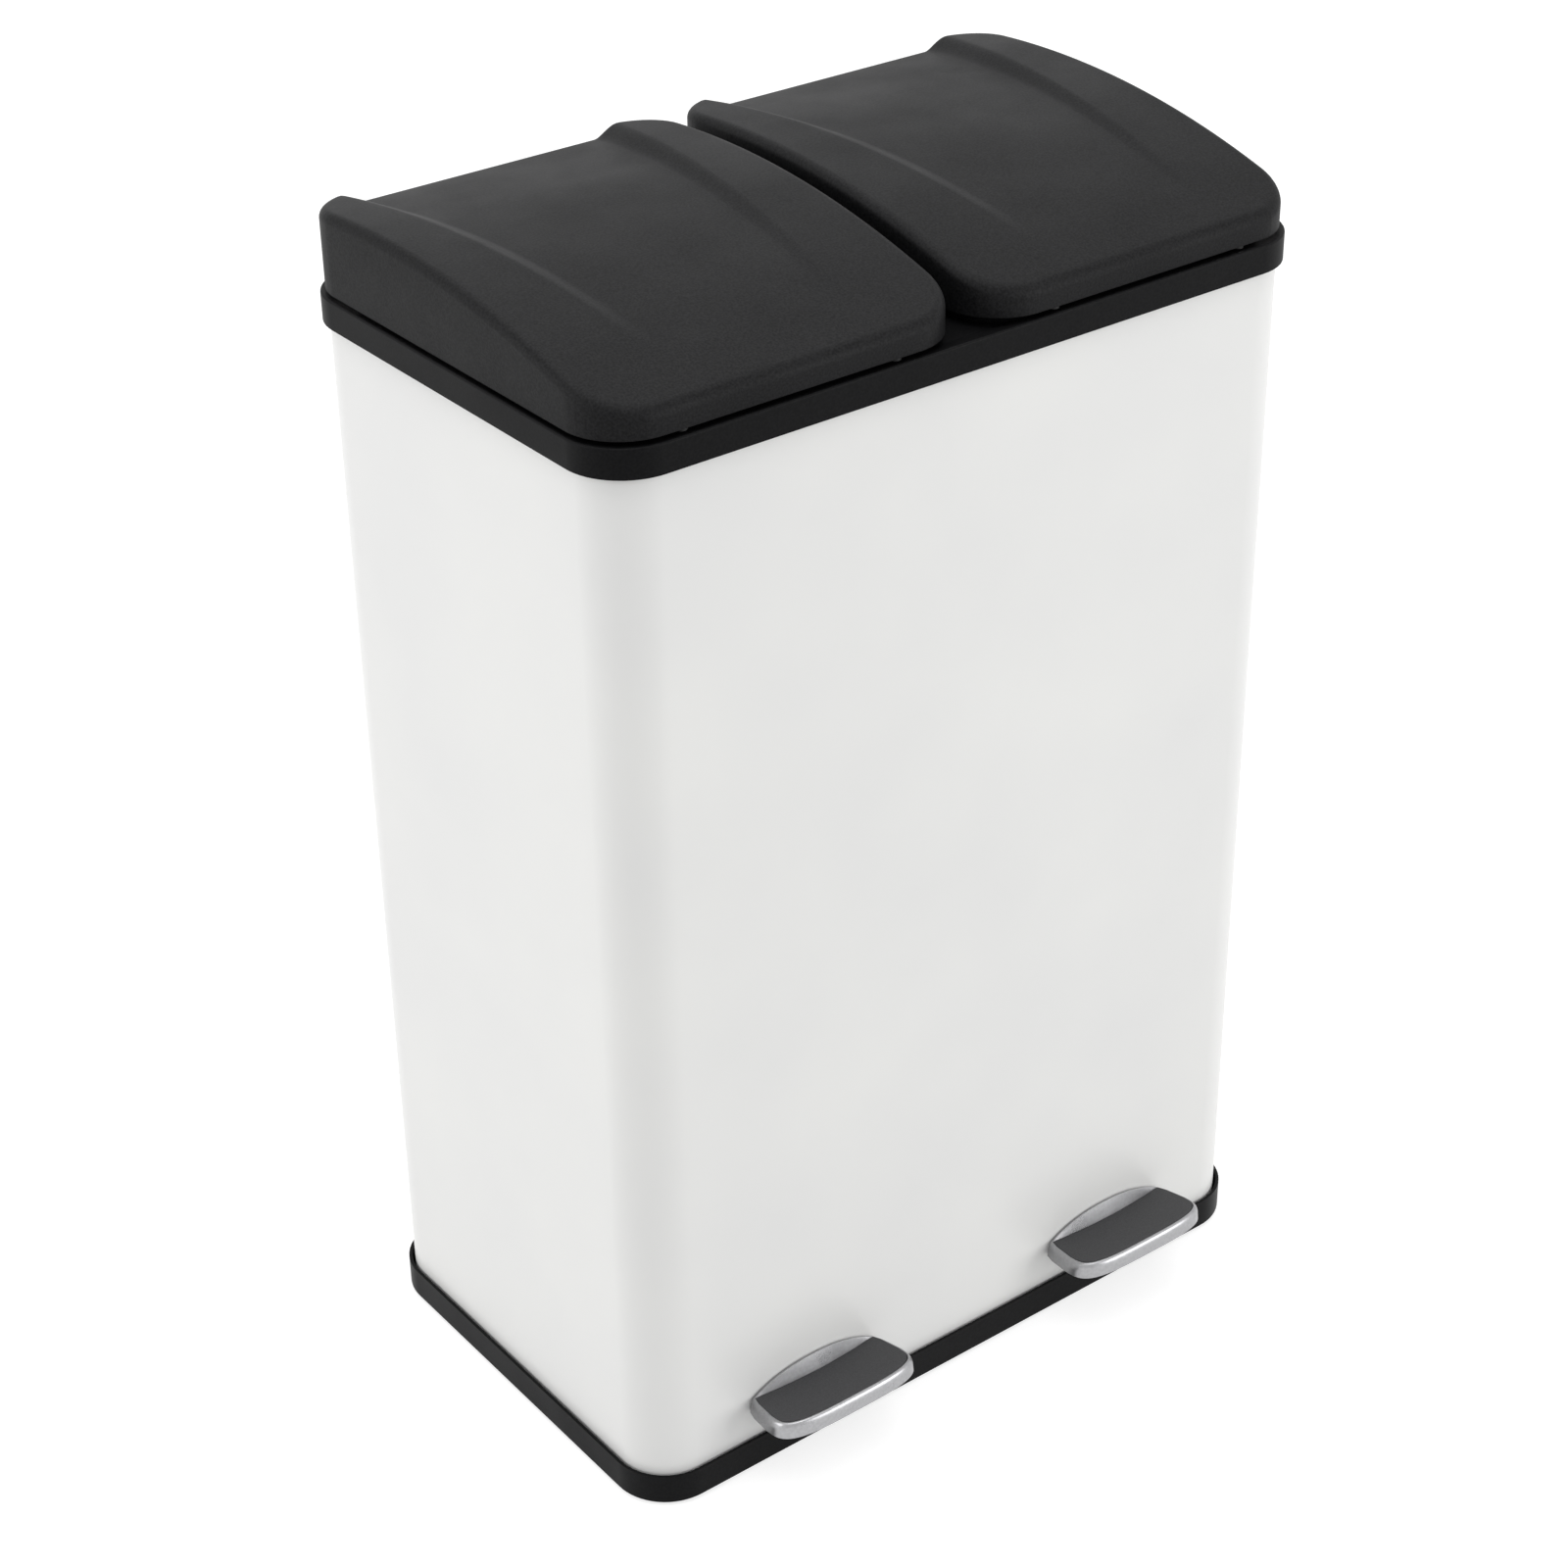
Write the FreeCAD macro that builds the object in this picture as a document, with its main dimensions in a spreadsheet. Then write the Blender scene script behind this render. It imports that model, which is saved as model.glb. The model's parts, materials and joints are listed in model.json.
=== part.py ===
"""Double recycling bin with two pedals, two lids and two lift-out buckets.

Millimetres, +Z up, front towards -Y.  The origin is on the floor, under the middle of the
whole outline, pedals included.  Every sketch is drawn about the middle of the body, and
each finished piece is then moved back by body_shift.
"""
import FreeCAD, Part
import math
import os
import re
import Sketcher

os.makedirs("parts", exist_ok=True)
doc = FreeCAD.newDocument("double_recycling_bin")

# ---------------------------------------------------------------- driving dimensions

SIZES = (
    # rim and body
    ("rim_width", 425, "rim, left to right, outside"),
    ("rim_depth", 262, "rim, front to back, outside"),
    ("rim_corner", 31.5, "plan radius of the rim's corners"),
    ("rim_top", 611.5, "height of the rim's top face above the floor"),
    ("rim_height", 15, "height of the rim's outer skirt"),
    ("rim_skirt", 2.5, "thickness of the rim's skirts"),
    ("rim_deck", 6, "thickness of the rim's deck"),
    ("rim_edge_round", 1.2, "rounding of the rim's top edge"),
    ("rim_plug_depth", 14, "depth of the skirt that plugs into the sleeve"),
    ("body_inset", 3.5, "how far the sleeve stands in from the rim and the base"),
    ("body_wall", 0.8, "thickness of the steel sleeve"),
    ("body_flange", 8, "width of the sleeve's turned-in bottom flange"),
    ("plug_gap", 0.3, "gap between the sleeve and the rim's plug"),
    # base
    ("foot_height", 2, "thickness of the rubber feet"),
    ("foot_radius", 12, "radius of the rubber feet"),
    ("foot_inset", 42, "from the base's sides to the feet's centres"),
    ("base_height", 18, "height of the base tray's outer wall"),
    ("base_wall", 2, "thickness of the base tray's wall"),
    ("base_floor", 2.5, "thickness of the base tray's floor"),
    ("base_edge_round", 2, "rounding of the base tray's bottom edge"),
    # lids
    ("lid_gap", 3, "gap between the rim and a closed lid"),
    ("lid_side_inset", 1.7, "how far a lid's outer side stands in from the rim"),
    ("lid_front_inset", 2.7, "how far a lid's front and back stand in from the rim"),
    ("lid_parting", 10, "gap between the two lids"),
    ("lid_corner", 31, "plan radius of a lid's corners"),
    ("lid_wall", 2.5, "thickness of a lid's moulding"),
    ("lid_edge_round", 7, "rounding of a lid's top edge"),
    ("crown_radius", 550, "radius of the lid's crown, seen from the side"),
    ("crown_apex_y", 51, "the crown's highest point, behind the body's middle"),
    ("crown_height", 42, "height of the crown above the lid's lower edge"),
    ("recess_depth", 7, "depth of the lid's recess at the back"),
    ("recess_front_y", -74, "where the recess runs out towards the front"),
    ("recess_rail_rear", 35, "lid's side to the recess floor, at the back"),
    ("recess_rail_front", 48, "lid's side to the recess floor, at the front"),
    ("recess_slope", 1.0, "run of the recess's flanks for each unit of depth"),
    # lid hinge
    ("hinge_y", 122, "hinge pin, behind the body's middle"),
    ("hinge_rise", 12.5, "hinge pin above the rim's top"),
    ("hinge_pin_radius", 2, "radius of the hinge pins"),
    ("hinge_pin_overhang", 6, "hinge pin past the outer face of an ear"),
    ("ear_inset", 38, "lid's side to the middle of a rim ear"),
    ("ear_thickness", 4, "thickness of a rim ear"),
    ("ear_radius", 4.5, "radius of an ear's head"),
    ("ear_foot", 7, "how far an ear's foot reaches in front of and behind the pin"),
    ("knuckle_thickness", 3, "thickness of a lid knuckle"),
    ("knuckle_reach", 6, "knuckle in front of the hinge pin"),
    ("side_gap", 0.4, "sideways gap between moving cheeks"),
    ("running_gap", 0.05, "radial clearance of a shaft that turns or slides"),
    ("notch_gap", 1.5, "gap round an ear in the lid's notch"),
    # lid cam and push rod
    ("lid_open_angle", 75, "how far a lid opens, in degrees"),
    ("cam_radius", 17, "base radius of the lid cam's involute"),
    ("cam_lead", 5, "push rod's tip above the hinge pin, lid closed"),
    ("cam_gap", 0.1, "gap between the push rod's tip and the cam"),
    ("cam_web", 8, "thickness of the cam's web"),
    ("cam_wall", 3.5, "least material in front of the cam's track"),
    ("cam_rise", 12, "cam's seat above the hinge pin"),
    ("cam_flange", 3, "thickness of the cam's flange"),
    ("cam_flange_width", 24, "width of the cam's flange"),
    ("cam_screw_bite", 8, "cam screws into the lid's boss"),
    ("rod_radius", 3, "radius of the push rods"),
    ("rod_foot_radius", 6, "radius of the shoe under a push rod"),
    ("rod_foot_height", 12, "height of that shoe"),
    ("rod_foot_seat", 3, "thickness of the shoe under the rod's end"),
    ("bush_radius", 5, "radius of the push rod's bush in the rim"),
    ("bush_flange", 1.5, "how far the bush's flange stands out"),
    ("bush_flange_height", 1, "thickness of the bush's flange"),
    ("bush_length", 12, "length of the bush below the rim's top"),
    ("guide_height", 8, "height of the lower rod guide's eye"),
    ("guide_wall", 4, "wall of the lower rod guide's eye"),
    ("guide_post_depth", 7, "depth of the lower rod guide's post"),
    ("guide_post_width", 12, "width of the lower rod guide's post"),
    ("guide_foot_width", 32, "width of the lower rod guide's foot"),
    ("guide_foot_height", 4, "height of the lower rod guide's foot"),
    ("guide_clearance", 3, "shoe to the guide's eye, pedal pressed"),
    # pedal and lever
    ("pedal_x", 104.5, "pedal's middle from the body's middle"),
    ("pedal_reach", 40, "pedal's front edge in front of the sleeve"),
    ("pedal_width", 92, "pedal's width at its lower edge"),
    ("pedal_side", 31, "length of the pedal's straight sides"),
    ("pedal_corner", 14, "radius of the pedal's front corners"),
    ("pedal_bottom", 37, "height of the pedal's lower edge"),
    ("pedal_height", 10, "pedal's top above its lower edge"),
    ("pedal_draft", 5, "lean of the pedal's sides, in degrees"),
    ("pedal_wall", 2.2, "thickness of the pedal's shell"),
    ("pedal_gap", 1.3, "pedal to the sleeve"),
    ("pedal_arch", 10, "height of the pedal's arched back above its top"),
    ("pedal_arch_width", 87, "width of the pedal's arched back"),
    ("pedal_arch_depth", 3, "how far the arched back swells forward"),
    ("pedal_edge_round", 1.2, "rounding of the pedal's top edge"),
    ("pad_margin", 1.2, "silver border round the rubber pad"),
    ("pad_recess", 1.2, "depth of the pad's seat"),
    ("pad_proud", 0.4, "pad above the pedal's top"),
    ("lever_width", 20, "width of the lever strip"),
    ("lever_thickness", 4, "thickness of the lever strip"),
    ("lever_eye", 7, "radius of the lever's eye"),
    ("lever_tip", 5, "radius of the lever's rear tip"),
    ("lever_bend", 6, "lever's front bend, in front of the sleeve"),
    ("lever_tab", 26, "length of the lever's tab under the pedal"),
    ("pedal_screw_pitch", 13, "between the two screws under a pedal"),
    ("pedal_screw_bite", 2, "pedal screws into the pedal's shell"),
    ("axle_y", -50, "lever axle, from the body's middle"),
    ("axle_z", 30, "height of the lever axle"),
    ("axle_radius", 3, "radius of the lever axle"),
    ("axle_overhang", 5, "lever axle past its brackets"),
    ("bracket_thickness", 4, "thickness of an axle bracket"),
    ("bracket_radius", 7, "radius of an axle bracket's head"),
    ("bracket_gap", 1, "lever to axle bracket"),
    ("clip_radius", 5.5, "radius of the axle clips"),
    ("clip_thickness", 1, "thickness of the axle clips"),
    ("rod_foot_gap", 0.2, "lever tip to the push rod's shoe"),
    ("slot_gap", 2.5, "room round the lever in the sleeve's slot"),
    # buckets
    ("bucket_x", 104.5, "bucket's middle from the body's middle"),
    ("bucket_y", -15.5, "bucket's middle, front to back"),
    ("bucket_width", 190, "bucket's rim, left to right"),
    ("bucket_depth", 205, "bucket's rim, front to back"),
    ("bucket_lip", 5, "bucket's rim beyond its wall"),
    ("bucket_lip_height", 3, "thickness of the bucket's rim"),
    ("bucket_draft", 6, "how much each wall leans in down to the floor"),
    ("bucket_corner", 24, "plan radius of the bucket's rim"),
    ("bucket_wall", 2, "thickness of the bucket's walls"),
    ("bucket_floor_z", 52, "underside of the bucket above the floor"),
    ("bucket_gap", 0.8, "gap round the bucket in the rim's opening"),
    ("seat_gap", 0.3, "gap under a part that rests on another"),
    # bucket handle
    ("bail_radius", 1.3, "radius of the handle's wire"),
    ("bail_inset", 3, "handle's arms in from the bucket's rim"),
    ("bail_length", 78, "handle, from its pivots to its grip"),
    ("bail_bend", 12, "radius of the handle's corners"),
    ("bail_stub", 1, "handle's pivot beyond the bucket's ear"),
    ("bail_ear", 2.2, "thickness of the bucket's ears"),
    ("bail_ear_radius", 3.6, "radius of the bucket's ears"),
    ("grip_radius", 5, "radius of the handle's grip"),
    ("grip_length", 80, "length of the handle's grip"),
    ("grip_round", 1.5, "rounding of the grip's ends"),
    # bumpers and fasteners
    ("bumper_radius", 3, "radius of the lid's bumpers"),
    ("bumper_boss_radius", 4, "radius of the bumper's boss"),
    ("bumper_spread", 60, "bumper from the lid's middle"),
    ("base_screw_radius", 1.75, "radius of the base screws"),
    ("base_screw_head", 3.2, "head radius of the base screws"),
    ("base_screw_length", 8, "length of the base screws"),
    ("base_screw_spread", 120, "base screw from the middle, left to right"),
    ("small_screw_radius", 1.5, "radius of the small screws"),
    ("small_screw_head", 2.6, "head radius of the small screws"),
    ("screw_head_height", 1.4, "height of the screw heads"),
    ("screw_gap", 0.1, "radial gap round a screw"),
)

DERIVED = (
    ("body_width", "rim_width - 2 * body_inset"),
    ("body_depth", "rim_depth - 2 * body_inset"),
    ("body_corner", "rim_corner - body_inset"),
    ("body_bottom", "foot_height + base_floor"),
    ("body_top", "rim_top - rim_deck"),
    ("body_shift", "(body_depth / 2 + pedal_reach - rim_depth / 2) / 2"),
    ("sleeve_inner_width", "body_width - 2 * body_wall"),
    ("sleeve_inner_depth", "body_depth - 2 * body_wall"),
    ("sleeve_inner_corner", "body_corner - body_wall"),
    ("lid_bottom", "rim_top + lid_gap"),
    ("lid_width", "rim_width / 2 - lid_side_inset - lid_parting / 2"),
    ("lid_x", "(lid_parting + lid_width) / 2"),
    ("lid_front_y", "lid_front_inset - rim_depth / 2"),
    ("lid_rear_y", "rim_depth / 2 - lid_front_inset"),
    ("crown_centre_z", "lid_bottom + crown_height - crown_radius"),
    ("hinge_z", "rim_top + hinge_rise"),
    ("ear_x", "lid_width / 2 - ear_inset"),
    ("knuckle_x", "ear_x - ear_thickness / 2 - side_gap - knuckle_thickness"),
    ("rod_y", "hinge_y - cam_radius"),
    ("rod_travel", "cam_radius * lid_open_angle * pi / 180"),
    ("rod_top", "hinge_z + cam_lead - cam_gap"),
    ("cam_seat_z", "hinge_z + cam_rise"),
    ("cam_front_y", "rod_y - cam_radius - cam_wall"),
    ("lever_rear", "rod_y - axle_y"),
    ("lever_swing", "2 * atan(rod_travel / 2 / lever_rear)"),
    ("lever_tip_z", "axle_z - rod_travel / 2"),
    ("rod_foot_z", "lever_tip_z + lever_tip + rod_foot_gap"),
    ("guide_z", "rod_foot_z + rod_foot_height + rod_travel + guide_clearance"),
    ("guide_post_y", "rod_y + lever_tip + bracket_gap"),
    ("sleeve_front_y", "-body_depth / 2"),
    ("pedal_rear_y", "sleeve_front_y - pedal_gap"),
    ("pedal_front_y", "sleeve_front_y - pedal_reach"),
    ("pedal_top", "pedal_bottom + pedal_height"),
    ("pedal_ceiling", "pedal_top - pad_recess - pedal_wall"),
    ("lever_bend_y", "sleeve_front_y - lever_bend"),
    ("lever_front_y", "lever_bend_y - lever_tab"),
    ("slot_drop", "tan(lever_swing) * (axle_y - sleeve_front_y)"),
    ("bracket_x", "lever_width / 2 + bracket_gap"),
    ("bucket_top", "rim_top"),
    ("bucket_mouth_width", "bucket_width - 2 * bucket_lip"),
    ("bucket_mouth_depth", "bucket_depth - 2 * bucket_lip"),
    ("bucket_mouth_corner", "bucket_corner - bucket_lip"),
    ("bail_x", "bucket_width / 2 - bail_inset"),
    ("bail_z", "bucket_top + bail_radius + seat_gap"),
    ("bail_ear_x", "bail_x - bail_radius - side_gap - bail_ear / 2"),
    ("pedal_lean", "pedal_height * tan(pedal_draft)"),
    ("cam_screw_y", "(cam_front_y + rod_y + cam_lead) / 2"),
    ("bumper_y", "lid_front_y + bumper_boss_radius"),
    ("base_screw_y", "sleeve_inner_depth / 2 - body_flange / 2"),
)

sheet = doc.addObject("Spreadsheet::Sheet", "Sizes")
row = 0
for alias, value, meaning in SIZES:
    row += 1
    sheet.set(f"A{row}", meaning)
    sheet.set(f"B{row}", str(value))
    sheet.setAlias(f"B{row}", alias)
for alias, formula in DERIVED:
    row += 1
    sheet.set(f"B{row}", "=" + formula)
    sheet.setAlias(f"B{row}", alias)
doc.recompute()

ALIASES = [entry[0] for entry in SIZES + DERIVED]
ALIAS_WORD = re.compile(r"\b(" + "|".join(sorted(ALIASES, key=len, reverse=True)) + r")\b")
SIDES = (("left", -1), ("right", 1))
UP = FreeCAD.Vector(0, 0, 1)


def size(expression):
    """Number that an expression over the sheet's names gives."""
    result = sheet.evalExpression(str(expression))
    return float(getattr(result, "Value", result))


def bound(expression):
    """The same expression, written so that another object can hold it."""
    return ALIAS_WORD.sub(r"Sizes.\1", str(expression))


def bind(item, prop, expression):
    """Set one property and tie it to the sheet."""
    if "." not in prop:
        setattr(item, prop, size(expression))
    item.setExpression(prop, bound(expression))


# ---------------------------------------------------------------- sketches


def new_body(label):
    body = doc.addObject("PartDesign::Body", label)
    body.Label = label
    return body


def new_sketch(body, name, plane, offset="0"):
    """Sketch on one of the body's own origin planes, moved along that plane's normal."""
    sketch = body.newObject("Sketcher::SketchObject", name)
    support = [item for item in body.Origin.OriginFeatures if item.Role == plane][0]
    sketch.AttachmentSupport = (support, [""])
    sketch.MapMode = "FlatFace"
    sketch.AttachmentOffset = FreeCAD.Placement(FreeCAD.Vector(0, 0, size(offset)), FreeCAD.Rotation())
    sketch.setExpression("AttachmentOffset.Base.z", bound(offset))
    return sketch


def add_rule(sketch, kind, arguments, expression):
    """Add a dimension to a sketch and tie it to the sheet."""
    index = sketch.addConstraint(Sketcher.Constraint(kind, *arguments, size(expression)))
    name = f"rule_{index}"
    sketch.renameConstraint(index, name)
    sketch.setExpression(f"Constraints.{name}", bound(expression))


def pin(sketch, geometry, point, x, y):
    """Hold one point of a sketch at x, y."""
    add_rule(sketch, "DistanceX", (-1, 1, geometry, point), x)
    add_rule(sketch, "DistanceY", (-1, 1, geometry, point), y)


def arc_between(start, end, radius, side):
    """Minor arc from start to end that swells to the left (1) or the right (-1)."""
    chord = end - start
    middle = (start + end) * 0.5
    normal = FreeCAD.Vector(-chord.y, chord.x, 0).normalize()
    height = math.sqrt(max(radius ** 2 - (chord.Length / 2) ** 2, 0))
    centre = middle - normal * (height * side)
    first, last = (end, start) if side > 0 else (start, end)
    angles = [math.atan2(p.y - centre.y, p.x - centre.x) for p in (first, last)]
    return Part.ArcOfCircle(Part.Circle(centre, UP, radius), angles[0], angles[1])


def outline(sketch, corners, closed=True):
    """Chain of lines and arcs.

    A corner is (x, y), or (x, y, radius, side) where an arc leads on to the next corner.
    """
    points = [FreeCAD.Vector(size(corner[0]), size(corner[1]), 0) for corner in corners]
    count = len(corners) if closed else len(corners) - 1
    ends = []
    for index in range(count):
        corner = corners[index]
        start = points[index]
        end = points[(index + 1) % len(points)]
        if len(corner) == 2:
            geometry = sketch.addGeometry(Part.LineSegment(start, end), False)
            ends.append((geometry, 1, 2))
        else:
            arc = arc_between(start, end, size(corner[2]), corner[3])
            geometry = sketch.addGeometry(arc, False)
            add_rule(sketch, "Radius", (geometry,), corner[2])
            ends.append((geometry, 2, 1) if corner[3] > 0 else (geometry, 1, 2))
    for index, (geometry, first, last) in enumerate(ends):
        pin(sketch, geometry, first, corners[index][0], corners[index][1])
        if closed or index + 1 < count:
            follower, follower_first, _ = ends[(index + 1) % count]
            sketch.addConstraint(
                Sketcher.Constraint("Coincident", geometry, last, follower, follower_first))
    if not closed:
        geometry, _, last = ends[-1]
        pin(sketch, geometry, last, corners[-1][0], corners[-1][1])


def rounded_rectangle(sketch, width, depth, radius, x="0", y="0"):
    """Rectangle about x, y with round corners."""
    left, right = f"({x}) - ({width}) / 2", f"({x}) + ({width}) / 2"
    front, back = f"({y}) - ({depth}) / 2", f"({y}) + ({depth}) / 2"
    outline(sketch, (
        (f"{left} + ({radius})", front),
        (f"{right} - ({radius})", front, radius, -1),
        (right, f"{front} + ({radius})"),
        (right, f"{back} - ({radius})", radius, -1),
        (f"{right} - ({radius})", back),
        (f"{left} + ({radius})", back, radius, -1),
        (left, f"{back} - ({radius})"),
        (left, f"{front} + ({radius})", radius, -1),
    ))


def rectangle(sketch, left, right, low, high):
    outline(sketch, ((left, low), (right, low), (right, high), (left, high)))


def disc(sketch, x, y, radius):
    geometry = sketch.addGeometry(
        Part.Circle(FreeCAD.Vector(size(x), size(y), 0), UP, size(radius)), False)
    pin(sketch, geometry, 3, x, y)
    add_rule(sketch, "Radius", (geometry,), radius)


# ---------------------------------------------------------------- features


def grow_or_shrink(body, feature, grows):
    """Recompute, and stop if a feature did not change the solid the way it should."""
    before = body.Shape.Volume if not body.Shape.isNull() else 0.0
    doc.recompute()
    body.Tip = feature
    doc.recompute()
    after = body.Shape.Volume
    if (after <= before) if grows else (after >= before):
        raise RuntimeError(f"{feature.Name} in {body.Label} did nothing: {before:.1f} {after:.1f}")


def pad(body, sketch, length, symmetric=False, flipped=False, taper="0"):
    feature = body.newObject("PartDesign::Pad", sketch.Name + "_pad")
    feature.Profile = sketch
    bind(feature, "Length", length)
    feature.SideType = "Symmetric" if symmetric else "One side"
    feature.Reversed = flipped
    if taper != "0":
        bind(feature, "TaperAngle", taper)
    grow_or_shrink(body, feature, True)
    return feature


def pocket(body, sketch, length=None, symmetric=False, flipped=False):
    """Cut along minus the sketch's normal, or along it when flipped; through all by default."""
    feature = body.newObject("PartDesign::Pocket", sketch.Name + "_pocket")
    feature.Profile = sketch
    if length is None:
        feature.Type = "ThroughAll"
    else:
        bind(feature, "Length", length)
    feature.SideType = "Symmetric" if symmetric else "One side"
    feature.Reversed = flipped
    grow_or_shrink(body, feature, False)
    return feature


def loft(body, kind, sketches):
    feature = body.newObject(f"PartDesign::{kind}", sketches[0].Name + "_loft")
    feature.Profile = sketches[0]
    feature.Sections = sketches[1:]
    grow_or_shrink(body, feature, kind == "AdditiveLoft")
    return feature


def fillet(body, radius, wanted):
    """Round the edges of the body's tip for which wanted(edge) is true."""
    base = body.Tip
    names = [f"Edge{i + 1}" for i, edge in enumerate(base.Shape.Edges) if wanted(edge)]
    if not names:
        raise RuntimeError(f"no edges to round on {body.Label}")
    feature = body.newObject("PartDesign::Fillet", f"{body.Name}_round")
    feature.Base = (base, names)
    bind(feature, "Radius", radius)
    doc.recompute()
    body.Tip = feature
    doc.recompute()
    return feature


def is_upright(edge):
    box = edge.BoundBox
    return box.XLength < 1e-4 and box.YLength < 1e-4 and box.ZLength > 1e-3


def lies_at(edge, height):
    """True for an edge that lies flat at one height."""
    return edge.BoundBox.ZLength < 1e-4 and abs(edge.BoundBox.ZMin - height) < 1e-4


def box(name, left, right, front, back, low, high):
    item = doc.addObject("Part::Box", name)
    bind(item, "Length", f"({right}) - ({left})")
    bind(item, "Width", f"({back}) - ({front})")
    bind(item, "Height", f"({high}) - ({low})")
    move(item, left, front, low)
    return item


def rod(name, radius, x, y, z, length, axis="z"):
    """Round bar that starts at x, y, z and runs along +axis."""
    item = doc.addObject("Part::Cylinder", name)
    bind(item, "Radius", radius)
    bind(item, "Height", length)
    turns = {"z": (UP, 0), "x": (FreeCAD.Vector(0, 1, 0), 90), "y": (FreeCAD.Vector(1, 0, 0), -90)}
    item.Placement = FreeCAD.Placement(FreeCAD.Vector(), FreeCAD.Rotation(*turns[axis]))
    move(item, x, y, z)
    return item


def move(item, x, y, z="0"):
    base = FreeCAD.Vector(size(x), size(y), size(z))
    item.Placement = FreeCAD.Placement(base, item.Placement.Rotation)
    for letter, expression in zip("xyz", (x, y, z)):
        item.setExpression(f"Placement.Base.{letter}", bound(expression))


def fuse(name, items):
    item = doc.addObject("Part::MultiFuse", name)
    item.Shapes = items
    return item


def cut(name, base, tool):
    item = doc.addObject("Part::Cut", name)
    item.Base = base
    item.Tool = tool
    return item


def group(name, items):
    """Separate solids that share one node."""
    item = doc.addObject("Part::Compound", name)
    item.Links = items
    return item


NODES = []


def finish(item, label, x="0"):
    """Give a finished piece its label and its place in the bin."""
    item.Label = label
    move(item, x, "body_shift")
    NODES.append(item)
    return item


def screw(name, radius, head, length, x, y, seat_z):
    """Pan-head screw that points up, its head under seat_z."""
    shank = rod(name + "_shank", radius, x, y, seat_z, length)
    cap = rod(name + "_head", head, x, y, f"({seat_z}) - screw_head_height", "screw_head_height")
    return fuse(name, [cap, shank])


# ---------------------------------------------------------------- body and base


def make_body_shell():
    """White steel sleeve with a turned-in bottom flange and two lever slots."""
    body = new_body("body_shell")
    plan = new_sketch(body, "sleeve_plan", "XY_Plane", "body_bottom")
    rounded_rectangle(plan, "body_width", "body_depth", "body_corner")
    pad(body, plan, "body_top - body_bottom")
    inside = new_sketch(body, "sleeve_inside", "XY_Plane", "body_top")
    rounded_rectangle(inside, "sleeve_inner_width", "sleeve_inner_depth", "sleeve_inner_corner")
    pocket(body, inside, "body_top - body_bottom - body_wall")
    window = new_sketch(body, "sleeve_window", "XY_Plane", "body_top")
    rounded_rectangle(window, "sleeve_inner_width - 2 * body_flange",
                      "sleeve_inner_depth - 2 * body_flange",
                      "sleeve_inner_corner - body_flange")
    pocket(body, window)
    slots = new_sketch(body, "lever_slots", "XZ_Plane")
    low = "pedal_ceiling - lever_thickness - slot_drop - slot_gap"
    high = "pedal_ceiling + slot_gap"
    for _, side in SIDES:
        middle = f"{side} * pedal_x"
        half = "(lever_width / 2 + slot_gap)"
        rectangle(slots, f"{middle} - {half}", f"{middle} + {half}", low, high)
    pocket(body, slots, "body_depth", flipped=True)
    screw_holes(body, "flange_holes", "body_bottom + body_wall", "body_wall")
    finish(body, "body_shell")


def base_screw_places():
    return [(f"{column} * base_screw_spread", f"{line} * base_screw_y")
            for column in (-1, 0, 1) for line in (-1, 1)]


def screw_holes(body, name, top, depth):
    holes = new_sketch(body, name, "XY_Plane", top)
    for x, y in base_screw_places():
        disc(holes, x, y, "base_screw_radius + screw_gap")
    pocket(body, holes, depth)


def make_base_tray():
    """Black base tray with an open groove round the sleeve and four axle brackets."""
    body = new_body("base_tray")
    plan = new_sketch(body, "base_plan", "XY_Plane", "foot_height")
    rounded_rectangle(plan, "rim_width", "rim_depth", "rim_corner")
    pad(body, plan, "base_height")
    fillet(body, "base_edge_round", lambda edge: lies_at(edge, size("foot_height")))
    inside = new_sketch(body, "base_inside", "XY_Plane", "foot_height + base_height")
    rounded_rectangle(inside, "rim_width - 2 * base_wall", "rim_depth - 2 * base_wall",
                      "rim_corner - base_wall")
    pocket(body, inside, "base_height - base_floor")
    for side_name, side in SIDES:
        for cheek in (-1, 1):
            start = f"{side} * pedal_x + {cheek} * (bracket_x + bracket_thickness / 2)"
            cheek_name = f"bracket_{side_name}_{'inner' if cheek * side < 0 else 'outer'}"
            shape = new_sketch(body, cheek_name, "YZ_Plane", start)
            outline(shape, (
                ("axle_y - 2 * bracket_radius", "body_bottom - base_floor / 2"),
                ("axle_y + 2 * bracket_radius", "body_bottom - base_floor / 2"),
                ("axle_y + bracket_radius", "axle_z", "bracket_radius", -1),
                ("axle_y", "axle_z + bracket_radius", "bracket_radius", -1),
                ("axle_y - bracket_radius", "axle_z"),
            ))
            pad(body, shape, "bracket_thickness", symmetric=True)
    bores = new_sketch(body, "axle_bores", "YZ_Plane")
    disc(bores, "axle_y", "axle_z", "axle_radius")
    pocket(body, bores, "rim_width - 4 * base_wall", symmetric=True)
    screw_holes(body, "base_holes", "body_bottom", "base_floor")
    pilots = new_sketch(body, "guide_pilots", "XY_Plane", "body_bottom")
    for x, y in guide_screw_places():
        disc(pilots, x, y, "small_screw_radius")
    pocket(body, pilots, "base_floor")
    finish(body, "base_tray")


def make_base_fittings():
    feet = []
    for column in (-1, 1):
        for line in (-1, 1):
            feet.append(rod(f"foot_{column}_{line}", "foot_radius",
                            f"{column} * (rim_width / 2 - foot_inset)",
                            f"{line} * (rim_depth / 2 - foot_inset)", "0", "foot_height"))
    finish(group("base_feet", feet), "base_feet")
    screws = [screw(f"base_screw_{index}", "base_screw_radius", "base_screw_head",
                    "base_screw_length", x, y, "foot_height")
              for index, (x, y) in enumerate(base_screw_places())]
    finish(group("base_screws", screws), "base_screws")


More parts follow.
